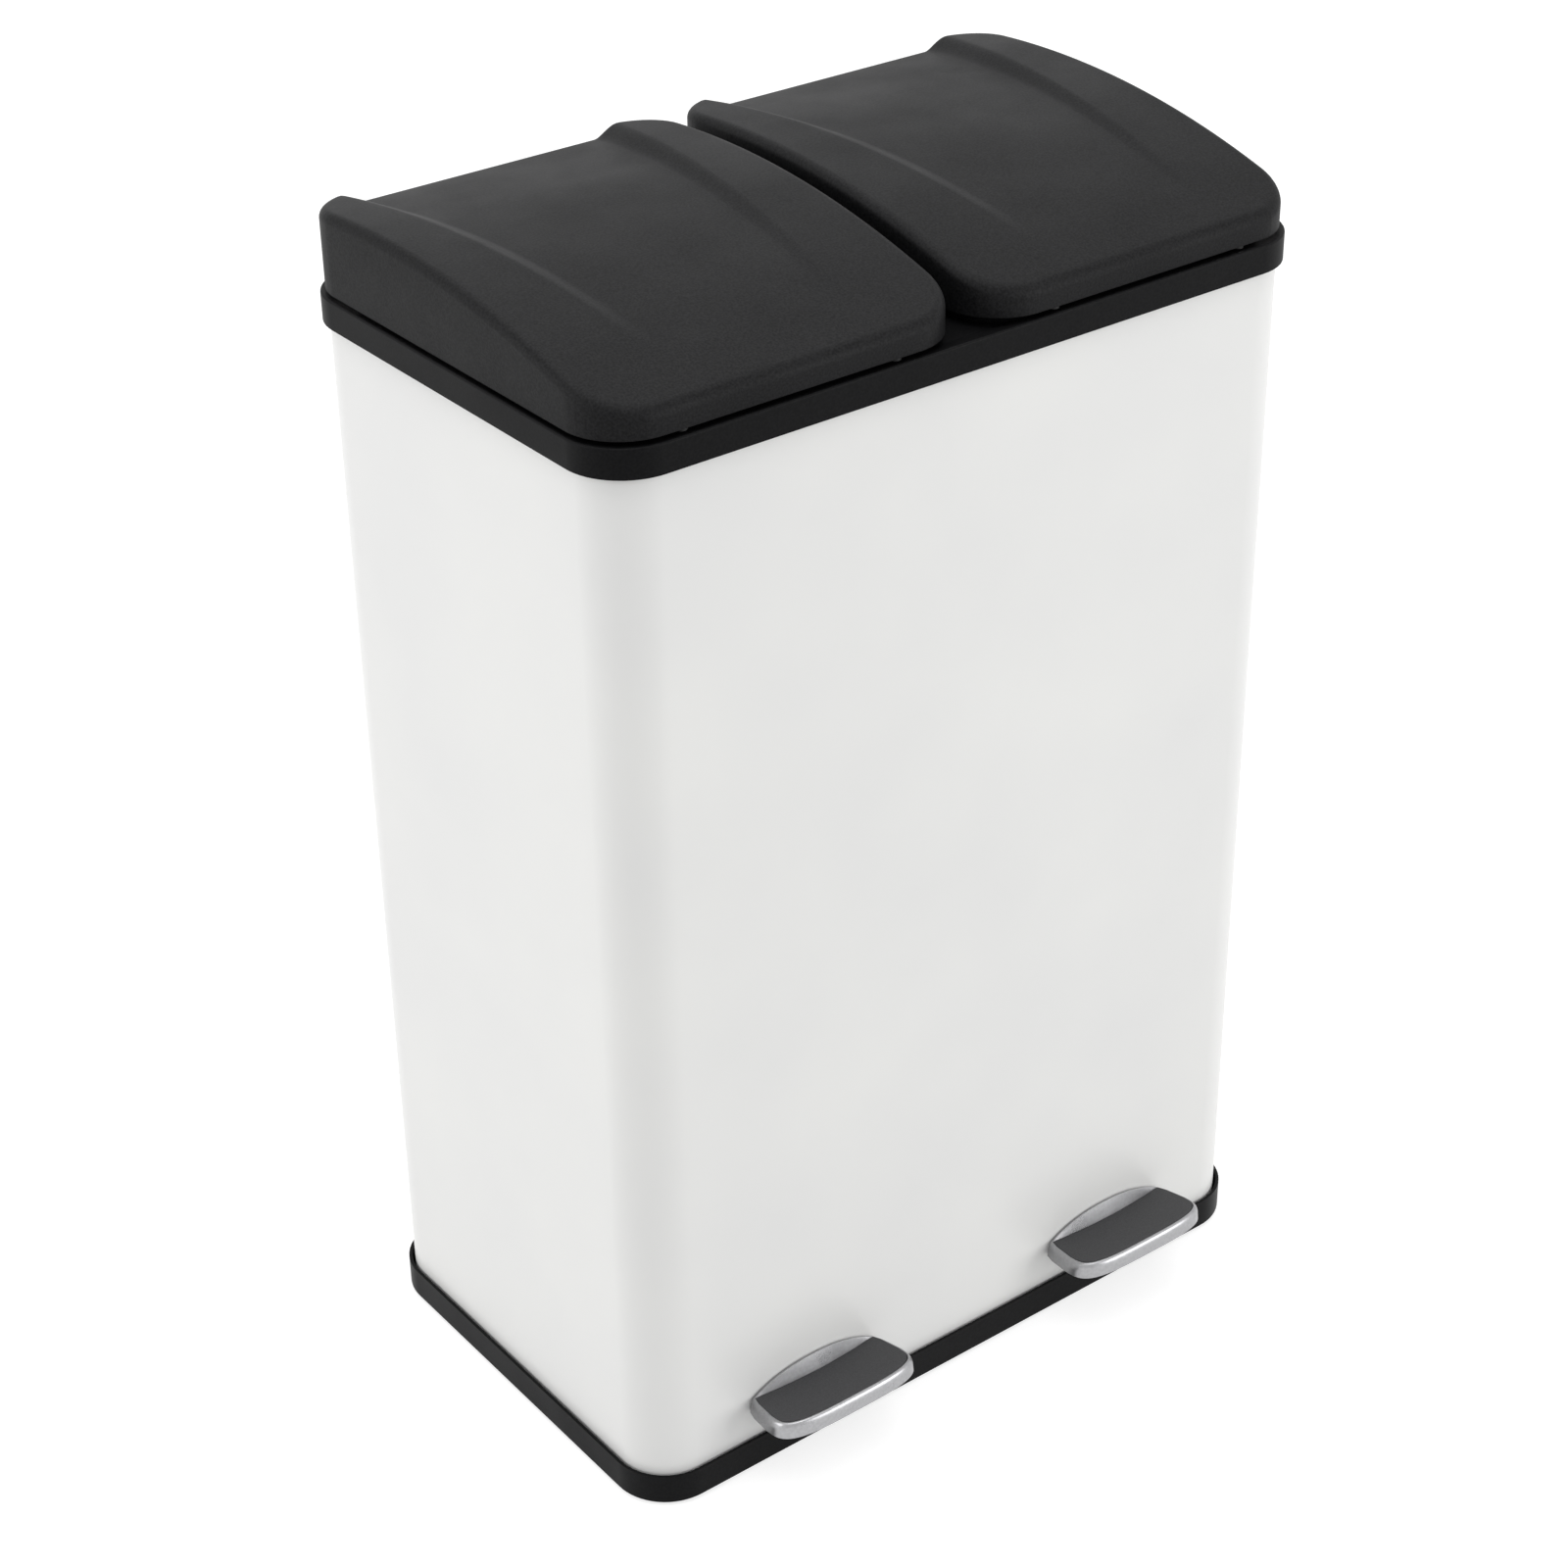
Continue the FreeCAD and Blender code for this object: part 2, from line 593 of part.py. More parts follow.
def make_top_rim():
    """Black frame that caps the sleeve, seats the buckets and carries the hinge ears."""
    body = new_body("top_rim")
    plan = new_sketch(body, "rim_plan", "XY_Plane", "rim_top - rim_height")
    rounded_rectangle(plan, "rim_width", "rim_depth", "rim_corner")
    pad(body, plan, "rim_height")
    fillet(body, "rim_edge_round", lambda edge: lies_at(edge, size("rim_top")))
    under = new_sketch(body, "rim_underside", "XY_Plane", "body_top")
    rounded_rectangle(under, "rim_width - 2 * rim_skirt", "rim_depth - 2 * rim_skirt",
                      "rim_corner - rim_skirt")
    pocket(body, under)
    plug = new_sketch(body, "rim_plug", "XY_Plane", "body_top")
    plug_size = ("sleeve_inner_width - 2 * plug_gap", "sleeve_inner_depth - 2 * plug_gap")
    rounded_rectangle(plug, *plug_size, "sleeve_inner_corner - plug_gap")
    rounded_rectangle(plug, *(f"{length} - 2 * rim_skirt" for length in plug_size),
                      "sleeve_inner_corner - plug_gap - rim_skirt")
    pad(body, plug, "rim_plug_depth", flipped=True)
    for side_name, side in SIDES:
        middle = f"{side} * bucket_x"
        seat = new_sketch(body, f"bucket_seat_{side_name}", "XY_Plane", "rim_top")
        rounded_rectangle(seat, "bucket_width + 2 * bucket_gap", "bucket_depth + 2 * bucket_gap",
                          "bucket_corner + bucket_gap", middle, "bucket_y")
        pocket(body, seat, "bucket_lip_height + seat_gap")
        mouth = new_sketch(body, f"bucket_opening_{side_name}", "XY_Plane", "rim_top")
        rounded_rectangle(mouth, "bucket_mouth_width + 2 * bucket_gap",
                          "bucket_mouth_depth + 2 * bucket_gap",
                          "bucket_mouth_corner + bucket_gap", middle, "bucket_y")
        pocket(body, mouth, "rim_deck")
        hole = new_sketch(body, f"bush_hole_{side_name}", "XY_Plane", "rim_top")
        disc(hole, f"{side} * lid_x", "rod_y", "bush_radius")
        pocket(body, hole, "rim_deck")
        for cheek in (-1, 1):
            place = f"{side} * lid_x + {cheek} * ear_x"
            ear = new_sketch(body, f"ear_{side_name}_{cheek + 1}", "YZ_Plane", place)
            outline(ear, (
                ("hinge_y - ear_foot", "rim_top - rim_deck / 2"),
                ("hinge_y + ear_foot", "rim_top - rim_deck / 2"),
                ("hinge_y + ear_radius", "hinge_z", "ear_radius", -1),
                ("hinge_y", "hinge_z + ear_radius", "ear_radius", -1),
                ("hinge_y - ear_radius", "hinge_z"),
            ))
            pad(body, ear, "ear_thickness", symmetric=True)
    bores = new_sketch(body, "hinge_bores", "YZ_Plane")
    disc(bores, "hinge_y", "hinge_z", "hinge_pin_radius")
    pocket(body, bores, "rim_width", symmetric=True)
    finish(body, "top_rim")


# ---------------------------------------------------------------- lids


def crown_z(y, inset="0"):
    """Height of the crown at y, for a surface that lies inset below the outside."""
    return f"crown_centre_z + sqrt(pow(crown_radius - ({inset}); 2) - pow(({y}) - crown_apex_y; 2))"


def recess_section(body, name, y, inset, reach):
    """Cross-section of the recess at y: a floor with two flanks that lean outwards.

    reach runs from 0 where the recess fades out to 1 at the lid's back.
    """
    plan = new_sketch(body, name, "XZ_Plane", f"-({y})")
    rail = f"(recess_rail_front + (recess_rail_rear - recess_rail_front) * {reach})"
    half = f"(lid_width / 2 - {rail} + ({inset}) * (sqrt(1 + pow(recess_slope; 2)) - recess_slope))"
    low = f"({crown_z(y)} - recess_depth * {reach} - ({inset}))"
    lift = "(2 * recess_depth + lid_wall)"
    wide = f"({half} + {lift} * recess_slope)"
    outline(plan, (
        (f"-{half}", low),
        (half, low),
        (wide, f"{low} + {lift}"),
        (f"-{wide}", f"{low} + {lift}"),
    ))
    return plan


def lid_form(name, inset, floor_z):
    """Crowned lid shape: arched from front to back, round corners, fading recess."""
    body = new_body(name)
    side = new_sketch(body, name + "_profile", "YZ_Plane")
    front, rear = f"lid_front_y + ({inset})", f"lid_rear_y - ({inset})"
    outline(side, (
        (front, floor_z),
        (rear, floor_z),
        (rear, crown_z(rear, inset), f"crown_radius - ({inset})", -1),
        (front, crown_z(front, inset)),
    ))
    pad(body, side, f"lid_width - 2 * ({inset})", symmetric=True)
    fillet(body, f"lid_corner - ({inset})", is_upright)
    lowest = size(floor_z)

    def on_top(edge):
        return edge.BoundBox.ZMin > lowest + 1 and not is_upright(edge)

    fillet(body, f"lid_edge_round - ({inset})", on_top)
    span = "(lid_rear_y - recess_front_y)"
    overrun = "lid_wall"
    steps = (("rear", f"(1 + {overrun} / {span})"), ("middle", "0.5"), ("front", "0"))
    sections = []
    for step, reach in steps:
        y = f"(recess_front_y + {span} * {reach})"
        sections.append(recess_section(body, f"{name}_recess_{step}", y, inset, reach))
    loft(body, "SubtractiveLoft", sections)
    return body


def make_lid(side_name, side):
    """One moulded lid: shell, knuckles, cam boss and bumper bosses, with notched back wall."""
    outer = lid_form(f"lid_outer_{side_name}", "0", "lid_bottom")
    cavity = lid_form(f"lid_cavity_{side_name}", "lid_wall", "lid_bottom - lid_wall")
    skyline = "lid_bottom + crown_height"
    kept = []
    for cheek in (-1, 1):
        left, right = sorted((f"{cheek} * knuckle_x", f"{cheek} * (knuckle_x + knuckle_thickness)"),
                             key=size)
        kept.append(box(f"knuckle_{side_name}_{cheek + 1}", left, right, "hinge_y - knuckle_reach",
                        "lid_rear_y", "lid_bottom - lid_wall", skyline))
        kept.append(rod(f"bumper_boss_{side_name}_{cheek + 1}", "bumper_boss_radius",
                        f"{cheek} * bumper_spread", "bumper_y", "lid_bottom - lid_wall",
                        "crown_height"))
    kept.append(box(f"cam_boss_{side_name}", "-cam_flange_width / 2", "cam_flange_width / 2",
                    "cam_front_y", "rod_y + cam_lead", "cam_seat_z", skyline))
    hollow = cut(f"lid_hollow_{side_name}", cavity, fuse(f"lid_kept_{side_name}", kept))
    shell = cut(f"lid_shell_{side_name}", outer, hollow)
    openings = [rod(f"knuckle_bore_{side_name}", "hinge_pin_radius + running_gap",
                    "-ear_x - ear_thickness", "hinge_y", "hinge_z", "2 * (ear_x + ear_thickness)",
                    "x")]
    for cheek in (-1, 1):
        half = "(ear_thickness / 2 + side_gap)"
        openings.append(box(f"ear_notch_{side_name}_{cheek + 1}",
                            f"{cheek} * ear_x - {half}", f"{cheek} * ear_x + {half}",
                            "hinge_y", "lid_rear_y + lid_wall", "lid_bottom - lid_wall",
                            "hinge_z + ear_radius + notch_gap"))
    for cheek in (-1, 1):
        openings.append(rod(f"cam_pilot_{side_name}_{cheek + 1}", "small_screw_radius",
                            f"{cheek} * cam_flange_width / 3", "cam_screw_y", "cam_seat_z",
                            "cam_screw_bite"))
    lid = cut(f"lid_{side_name}", shell, fuse(f"lid_openings_{side_name}", openings))
    finish(lid, f"lid_{side_name}", f"{side} * lid_x")


def involute(turn):
    """Point of the cam's track, for the lid opened by turn radians, seen with the lid closed.

    The rod stands on the tangent of the base circle, so its rise is the base radius times
    the turn at every angle.
    """
    radius = size("cam_radius")
    reach = size("cam_lead") + radius * turn
    return FreeCAD.Vector(
        0,
        size("hinge_y") - radius * math.cos(turn) - reach * math.sin(turn),
        size("hinge_z") - radius * math.sin(turn) + reach * math.cos(turn),
    )


def make_cam(side_name, side):
    """Acetal cam under a lid: an involute track that the push rod's tip runs along."""
    stop = math.radians(size("lid_open_angle"))
    margin = math.radians(4)
    turns = [-margin + (stop + 2 * margin) * step / 12 for step in range(13)]
    track = Part.BSplineCurve()
    track.interpolate([involute(turn) for turn in turns])
    start, end = involute(turns[0]), involute(turns[-1])
    half_web = size("cam_web") / 2
    front = end.y - size("cam_wall")
    seat = size("cam_seat_z")
    under = seat - size("cam_flange")
    back = size("rod_y + cam_lead")
    corners = [end, FreeCAD.Vector(0, front, end.z), FreeCAD.Vector(0, front, under),
               FreeCAD.Vector(0, back, under), FreeCAD.Vector(0, back, start.z), start]
    edges = [track.toShape()] + [Part.makeLine(a, b) for a, b in zip(corners, corners[1:])]
    web_face = Part.Face(Part.Wire(Part.__sortEdges__(edges)))
    web_face.translate(FreeCAD.Vector(-half_web, 0, 0))
    web = web_face.extrude(FreeCAD.Vector(2 * half_web, 0, 0))
    wide = size("cam_flange_width")
    flange = Part.makeBox(wide, back - front, seat - under, FreeCAD.Vector(-wide / 2, front, under))
    shape = web.fuse(flange)
    for cheek in (-1, 1):
        place = FreeCAD.Vector(cheek * wide / 3, size("cam_screw_y"), under)
        shape = shape.cut(Part.makeCylinder(size("small_screw_radius + screw_gap"),
                                            seat - under, place))
    cam = doc.addObject("Part::Feature", f"lid_cam_{side_name}")
    cam.Shape = shape.removeSplitter()
    finish(cam, f"lid_cam_{side_name}", f"{side} * lid_x")


def make_lid_fittings(side_name, side):
    place = f"{side} * lid_x"
    bumpers = [rod(f"bumper_{side_name}_{cheek + 1}", "bumper_radius", f"{cheek} * bumper_spread",
                   "bumper_y", "rim_top + seat_gap", "lid_gap - seat_gap")
               for cheek in (-1, 1)]
    finish(group(f"lid_bumpers_{side_name}", bumpers), f"lid_bumpers_{side_name}", place)
    screws = [screw(f"cam_screw_{side_name}_{cheek + 1}", "small_screw_radius", "small_screw_head",
                    "cam_flange + cam_screw_bite", f"{cheek} * cam_flange_width / 3",
                    "cam_screw_y", "cam_seat_z - cam_flange")
              for cheek in (-1, 1)]
    finish(group(f"cam_screws_{side_name}", screws), f"cam_screws_{side_name}", place)
    half = "(ear_x + ear_thickness / 2 + hinge_pin_overhang)"
    pin_bar = rod(f"hinge_pin_{side_name}", "hinge_pin_radius", f"{side} * lid_x - {half}", "hinge_y",
                  "hinge_z", f"2 * {half}", "x")
    NODES.append(pin_bar)
    pin_bar.Label = f"hinge_pin_{side_name}"
    move(pin_bar, f"{side} * lid_x - {half}", "hinge_y + body_shift", "hinge_z")


# ---------------------------------------------------------------- push rods


def make_push_rod(side_name, side):
    """Steel rod with a domed tip, its shoe, its bush in the rim and its lower guide."""
    place = f"{side} * lid_x"
    body = new_body(f"push_rod_{side_name}")
    half = new_sketch(body, f"push_rod_profile_{side_name}", "YZ_Plane")
    low = "rod_foot_z + rod_foot_seat"
    outline(half, (
        ("rod_y", low),
        ("rod_y + rod_radius", low),
        ("rod_y + rod_radius", "rod_top - rod_radius", "rod_radius", -1),
        ("rod_y", "rod_top"),
    ))
    turn = body.newObject("PartDesign::Revolution", f"push_rod_turn_{side_name}")
    turn.Profile = half
    axis_line = [i for i, g in enumerate(half.Geometry)
                 if isinstance(g, Part.LineSegment)
                 and abs(g.StartPoint.x - size("rod_y")) < 1e-6
                 and abs(g.EndPoint.x - size("rod_y")) < 1e-6][0]
    turn.ReferenceAxis = (half, [f"Edge{axis_line + 1}"])
    turn.Angle = 360
    grow_or_shrink(body, turn, True)
    finish(body, f"push_rod_{side_name}", place)

    foot = new_body(f"rod_foot_{side_name}")
    round_plan = new_sketch(foot, f"rod_foot_plan_{side_name}", "XY_Plane", "rod_foot_z")
    disc(round_plan, "0", "rod_y", "rod_foot_radius")
    pad(foot, round_plan, "rod_foot_height")
    socket = new_sketch(foot, f"rod_foot_socket_{side_name}", "XY_Plane",
                        "rod_foot_z + rod_foot_height")
    disc(socket, "0", "rod_y", "rod_radius")
    pocket(foot, socket, "rod_foot_height - rod_foot_seat")
    finish(foot, f"rod_foot_{side_name}", place)

    bush = new_body(f"rod_bush_{side_name}")
    tube = new_sketch(bush, f"bush_plan_{side_name}", "XY_Plane", "rim_top - bush_length")
    disc(tube, "0", "rod_y", "bush_radius")
    pad(bush, tube, "bush_length")
    collar = new_sketch(bush, f"bush_collar_{side_name}", "XY_Plane", "rim_top")
    disc(collar, "0", "rod_y", "bush_radius + bush_flange")
    pad(bush, collar, "bush_flange_height")
    bore = new_sketch(bush, f"bush_bore_{side_name}", "XY_Plane", "rim_top + bush_flange_height")
    disc(bore, "0", "rod_y", "rod_radius + running_gap")
    pocket(bush, bore)
    finish(bush, f"rod_bush_{side_name}", place)

    guide = new_body(f"rod_guide_{side_name}")
    sole = new_sketch(guide, f"guide_sole_{side_name}", "XY_Plane", "body_bottom")
    post_back = "guide_post_y + guide_post_depth"
    rectangle(sole, "-guide_foot_width / 2", "guide_foot_width / 2", "guide_post_y", post_back)
    pad(guide, sole, "guide_foot_height")
    post = new_sketch(guide, f"guide_post_{side_name}", "XY_Plane", "body_bottom")
    rectangle(post, "-guide_post_width / 2", "guide_post_width / 2", "guide_post_y", post_back)
    pad(guide, post, "guide_z + guide_height - body_bottom")
    eye = new_sketch(guide, f"guide_eye_{side_name}", "XY_Plane", "guide_z")
    reach = "rod_radius + guide_wall"
    outline(eye, (
        (f"-({reach})", "rod_y", reach, -1),
        ("0", f"rod_y - ({reach})", reach, -1),
        (reach, "rod_y"),
        (reach, post_back),
        (f"-({reach})", post_back),
    ))
    pad(guide, eye, "guide_height")
    hole = new_sketch(guide, f"guide_bore_{side_name}", "XY_Plane", "guide_z + guide_height")
    disc(hole, "0", "rod_y", "rod_radius + running_gap")
    pocket(guide, hole, "guide_height")
    holes = new_sketch(guide, f"guide_screw_holes_{side_name}", "XY_Plane",
                       "body_bottom + guide_foot_height")
    for cheek in (-1, 1):
        disc(holes, f"{cheek} * guide_foot_width / 3", "guide_post_y + guide_post_depth / 2",
             "small_screw_radius + screw_gap")
    pocket(guide, holes, "guide_foot_height")
    finish(guide, f"rod_guide_{side_name}", place)


def guide_screw_places():
    return [(f"{side} * lid_x + {cheek} * guide_foot_width / 3",
             "guide_post_y + guide_post_depth / 2") for _, side in SIDES for cheek in (-1, 1)]


def make_guide_screws():
    """Screws that hold the rod guides down: their heads sit on the guides' feet."""
    screws = []
    for index, (x, y) in enumerate(guide_screw_places()):
        seat = "body_bottom + guide_foot_height"
        shank = rod(f"guide_screw_{index}_shank", "small_screw_radius", x, y, "foot_height",
                    "base_floor + guide_foot_height")
        cap = rod(f"guide_screw_{index}_head", "small_screw_head", x, y, seat, "screw_head_height")
        screws.append(fuse(f"guide_screw_{index}", [shank, cap]))
    finish(group("guide_screws", screws), "guide_screws")


# ---------------------------------------------------------------- pedals and levers


def pedal_outline(sketch, inset, rear, bow=None):
    """Pedal seen from above: straight sides, a front that swells forward, a straight or
    bowed back."""
    half = f"(pedal_width / 2 - ({inset}))"
    shoulder = f"(pedal_rear_y - pedal_side + ({inset}) / 2)"
    tip = f"(pedal_front_y + ({inset}))"
    swell = f"({shoulder} - {tip})"
    radius = f"((pow({half}; 2) + pow({swell}; 2)) / (2 * {swell}))"
    corners = [
        (f"-{half}", rear),
        (f"-{half}", shoulder, radius, -1),
        ("0", tip, radius, -1),
        (half, shoulder),
        (half, rear),
    ]
    if bow is not None:
        bow_radius = f"((pow({half}; 2) + pow({bow}; 2)) / (2 * {bow}))"
        corners[-1] = (half, rear, bow_radius, 1)
        corners.append(("0", f"{rear} - {bow}", bow_radius, 1))
    outline(sketch, corners)


def front_corners(low, high):
    """Test for the edges at the pedal's two front corners that run from low to high."""
    low_z, high_z = size(low), size(high)

    def wanted(edge):
        span = edge.BoundBox
        return (abs(span.ZMin - low_z) < 1e-3 and abs(span.ZMax - high_z) < 1e-3
                and span.Center.y < size("pedal_rear_y - pedal_side / 2")
                and abs(span.Center.x) > size("pedal_width / 4"))

    return wanted


def pedal_form(side_name):
    """Outside of the pedal: leaning sides, round corners and an arched, swelling back."""
    body = new_body(f"pedal_form_{side_name}")
    plan = new_sketch(body, f"pedal_plan_{side_name}", "XY_Plane", "pedal_bottom")
    pedal_outline(plan, "0", "pedal_rear_y + pedal_height")
    pad(body, plan, "pedal_height", taper="-pedal_draft")
    fillet(body, "pedal_corner", front_corners("pedal_bottom", "pedal_top"))
    fillet(body, "pedal_edge_round", lambda edge: lies_at(edge, size("pedal_top")))
    back = new_sketch(body, f"pedal_back_{side_name}", "XY_Plane", "pedal_top + pedal_height")
    rectangle(back, "-pedal_width", "pedal_width", "pedal_rear_y", "pedal_rear_y + pedal_width")
    pocket(body, back)
    arch = new_sketch(body, f"pedal_arch_{side_name}", "XZ_Plane", "-pedal_rear_y")
    half = "(pedal_arch_width / 2)"
    arch_radius = f"((pow({half}; 2) + pow(pedal_arch; 2)) / (2 * pedal_arch))"
    outline(arch, (
        (f"-{half}", "pedal_top - pedal_edge_round"),
        (half, "pedal_top - pedal_edge_round"),
        (half, "pedal_top", arch_radius, -1),
        ("0", "pedal_top + pedal_arch", arch_radius, -1),
        (f"-{half}", "pedal_top"),
    ))
    pad(body, arch, "2 * pedal_arch_depth")
    trim = new_sketch(body, f"pedal_trim_{side_name}", "XY_Plane", "pedal_top + pedal_arch")
    swell = "((pow(pedal_arch_width / 2; 2) + pow(pedal_arch_depth; 2)) / (2 * pedal_arch_depth))"
    outline(trim, (
        (f"-{half}", "pedal_rear_y", swell, -1),
        ("0", "pedal_rear_y - pedal_arch_depth", swell, -1),
        (half, "pedal_rear_y"),
        ("pedal_width", "pedal_rear_y"),
        ("pedal_width", "2 * pedal_front_y"),
        ("-pedal_width", "2 * pedal_front_y"),
        ("-pedal_width", "pedal_rear_y"),
    ))
    pocket(body, trim, "pedal_arch")
    return body


def pedal_hollow(side_name):
    """Space under the pedal, with the lever's way in and the screws' pilot holes."""
    body = new_body(f"pedal_hollow_{side_name}")
    plan = new_sketch(body, f"hollow_plan_{side_name}", "XY_Plane", "pedal_bottom")
    pedal_outline(plan, "pedal_wall", "pedal_rear_y - pedal_wall")
    pad(body, plan, "pedal_ceiling - pedal_bottom", taper="-pedal_draft")
    fillet(body, "pedal_corner - pedal_wall", front_corners("pedal_bottom", "pedal_ceiling"))
    door = new_sketch(body, f"pedal_door_{side_name}", "XY_Plane", "pedal_bottom")
    rectangle(door, "-lever_width / 2 - bracket_gap", "lever_width / 2 + bracket_gap",
              "pedal_rear_y - 3 * pedal_wall", "pedal_rear_y + pedal_wall")
    pad(body, door, "pedal_ceiling - pedal_bottom")
    pilots = new_sketch(body, f"pedal_pilots_{side_name}", "XY_Plane", "pedal_ceiling")
    for y in pedal_screw_places():
        disc(pilots, "0", y, "small_screw_radius")
    pad(body, pilots, "pedal_screw_bite")
    return body


def pedal_rubber(name):
    """Rubber pad of a pedal; the same form also cuts its seat."""
    body = new_body(name)
    plan = new_sketch(body, f"{name}_plan", "XY_Plane", "pedal_top - pad_recess")
    margin = "(pad_margin + pedal_lean)"
    pedal_outline(plan, margin, "(pedal_rear_y - pad_margin)", "pedal_arch_depth")
    pad(body, plan, "pad_recess + pad_proud")
    fillet(body, f"pedal_corner - {margin}",
           front_corners("pedal_top - pad_recess", "pedal_top + pad_proud"))
    return body


def make_pedal(side_name, side):
    """Satin-chrome pedal shell, its rubber pad and the screws that hold it to the lever."""
    place = f"{side} * pedal_x"
    hollows = fuse(f"pedal_cuts_{side_name}",
                   [pedal_hollow(side_name), pedal_rubber(f"pad_seat_{side_name}")])
    cap = cut(f"pedal_cap_{side_name}", pedal_form(side_name), hollows)
    finish(cap, f"pedal_cap_{side_name}", place)
    finish(pedal_rubber(f"pedal_pad_{side_name}"), f"pedal_pad_{side_name}", place)
    screws = [screw(f"pedal_screw_{side_name}_{index}", "small_screw_radius", "small_screw_head",
                    "lever_thickness + pedal_screw_bite", "0", y, "pedal_ceiling - lever_thickness")
              for index, y in enumerate(pedal_screw_places())]
    finish(group(f"pedal_screws_{side_name}", screws), f"pedal_screws_{side_name}", place)


def pedal_screw_places():
    middle = "(lever_bend_y + lever_front_y) / 2"
    return [f"{middle} + {way} * pedal_screw_pitch / 2" for way in (-1, 1)]


def make_lever(side_name, side):
    """Steel lever: a tab under the pedal, an eye on the axle, a rounded tip under the rod."""
    place = f"{side} * pedal_x"
    body = new_body(f"pedal_lever_{side_name}")
    half = "lever_thickness / 2"
    shapes = {
        "front_arm": (
            ("axle_y", f"axle_z + {half}"),
            ("axle_y", f"axle_z - {half}"),
            ("lever_bend_y", "pedal_ceiling - lever_thickness"),
            ("lever_front_y", "pedal_ceiling - lever_thickness"),
            ("lever_front_y", "pedal_ceiling"),
            ("lever_bend_y", "pedal_ceiling"),
        ),
        "rear_arm": (
            ("axle_y", f"axle_z - {half}"),
            ("axle_y", f"axle_z + {half}"),
            ("rod_y", f"lever_tip_z + {half}"),
            ("rod_y", f"lever_tip_z - {half}"),
        ),
    }
    for part, corners in shapes.items():
        arm = new_sketch(body, f"lever_{part}_{side_name}", "YZ_Plane")
        outline(arm, corners)
        pad(body, arm, "lever_width", symmetric=True)
    for part, y, z, radius in (("eye", "axle_y", "axle_z", "lever_eye"),
                               ("tip", "rod_y", "lever_tip_z", "lever_tip")):
        end = new_sketch(body, f"lever_{part}_{side_name}", "YZ_Plane")
        disc(end, y, z, radius)
        pad(body, end, "lever_width", symmetric=True)
    bore = new_sketch(body, f"lever_bore_{side_name}", "YZ_Plane")
    disc(bore, "axle_y", "axle_z", "axle_radius + running_gap")
    pocket(body, bore, "2 * lever_width", symmetric=True)
    holes = new_sketch(body, f"lever_holes_{side_name}", "XY_Plane", "pedal_ceiling")
    for y in pedal_screw_places():
        disc(holes, "0", y, "small_screw_radius + screw_gap")
    pocket(body, holes, "2 * lever_thickness")
    finish(body, f"pedal_lever_{side_name}", place)

    half_axle = "(bracket_x + bracket_thickness + axle_overhang)"
    axle = rod(f"lever_axle_{side_name}", "axle_radius", f"{side} * pedal_x - {half_axle}",
               "axle_y", "axle_z", f"2 * {half_axle}", "x")
    axle.Label = f"lever_axle_{side_name}"
    move(axle, f"{side} * pedal_x - {half_axle}", "axle_y + body_shift", "axle_z")
    NODES.append(axle)


def make_axle_clips():
    """Spring clips on the lever axles, outside the brackets."""
    clips = []
    for side_name, side in SIDES:
        for cheek in (-1, 1):
            start = f"{cheek} * (bracket_x + bracket_thickness + clip_thickness / 2)"
            x = f"{side} * pedal_x + {start} - clip_thickness / 2"
            name = f"axle_clip_{side_name}_{cheek + 1}"
            disc_part = rod(name + "_disc", "clip_radius", x, "axle_y", "axle_z",
                            "clip_thickness", "x")
            hole = rod(name + "_hole", "axle_radius", x, "axle_y", "axle_z", "clip_thickness", "x")
            clips.append(cut(name, disc_part, hole))
    finish(group("axle_clips", clips), "axle_clips")


# ---------------------------------------------------------------- buckets


def make_bucket(side_name, side):
    """Lift-out bucket: tapered walls, a flat rim and two ears for its handle."""
    place = f"{side} * bucket_x"
    body = new_body(f"bucket_{side_name}")
    walls = (
        ("AdditiveLoft", "wall", "0", "bucket_top", "bucket_floor_z"),
        ("SubtractiveLoft", "inside", "bucket_wall", "bucket_top", "bucket_floor_z + bucket_wall"),
    )
    for kind, name, inset, top, bottom in walls:
        sections = []
        for level, height, lean in (("top", top, "0"), ("low", bottom, "bucket_draft")):
            plan = new_sketch(body, f"bucket_{name}_{level}_{side_name}", "XY_Plane", height)
            shrink = f"({inset} + {lean})"
            rounded_rectangle(plan, f"bucket_mouth_width - 2 * {shrink}",
                              f"bucket_mouth_depth - 2 * {shrink}",
                              f"bucket_mouth_corner - {shrink}", "0", "bucket_y")
            sections.append(plan)
        loft(body, kind, sections)
        if kind == "AdditiveLoft":
            lip = new_sketch(body, f"bucket_lip_{side_name}", "XY_Plane",
                             "bucket_top - bucket_lip_height")
            rounded_rectangle(lip, "bucket_width", "bucket_depth", "bucket_corner", "0", "bucket_y")
            pad(body, lip, "bucket_lip_height")
    for cheek in (-1, 1):
        ear = new_sketch(body, f"bucket_ear_{side_name}_{cheek + 1}", "YZ_Plane",
                         f"{cheek} * bail_ear_x")
        outline(ear, (
            ("bucket_y - 2 * bail_ear_radius", "bucket_top - bucket_lip_height / 2"),
            ("bucket_y + 2 * bail_ear_radius", "bucket_top - bucket_lip_height / 2"),
            ("bucket_y + bail_ear_radius", "bail_z", "bail_ear_radius", -1),
            ("bucket_y", "bail_z + bail_ear_radius", "bail_ear_radius", -1),
            ("bucket_y - bail_ear_radius", "bail_z"),
        ))
        pad(body, ear, "bail_ear", symmetric=True)
    bore = new_sketch(body, f"bail_bore_{side_name}", "YZ_Plane")
    disc(bore, "bucket_y", "bail_z", "bail_radius + running_gap")
    pocket(body, bore, "bucket_width", symmetric=True)
    finish(body, f"bucket_{side_name}", place)


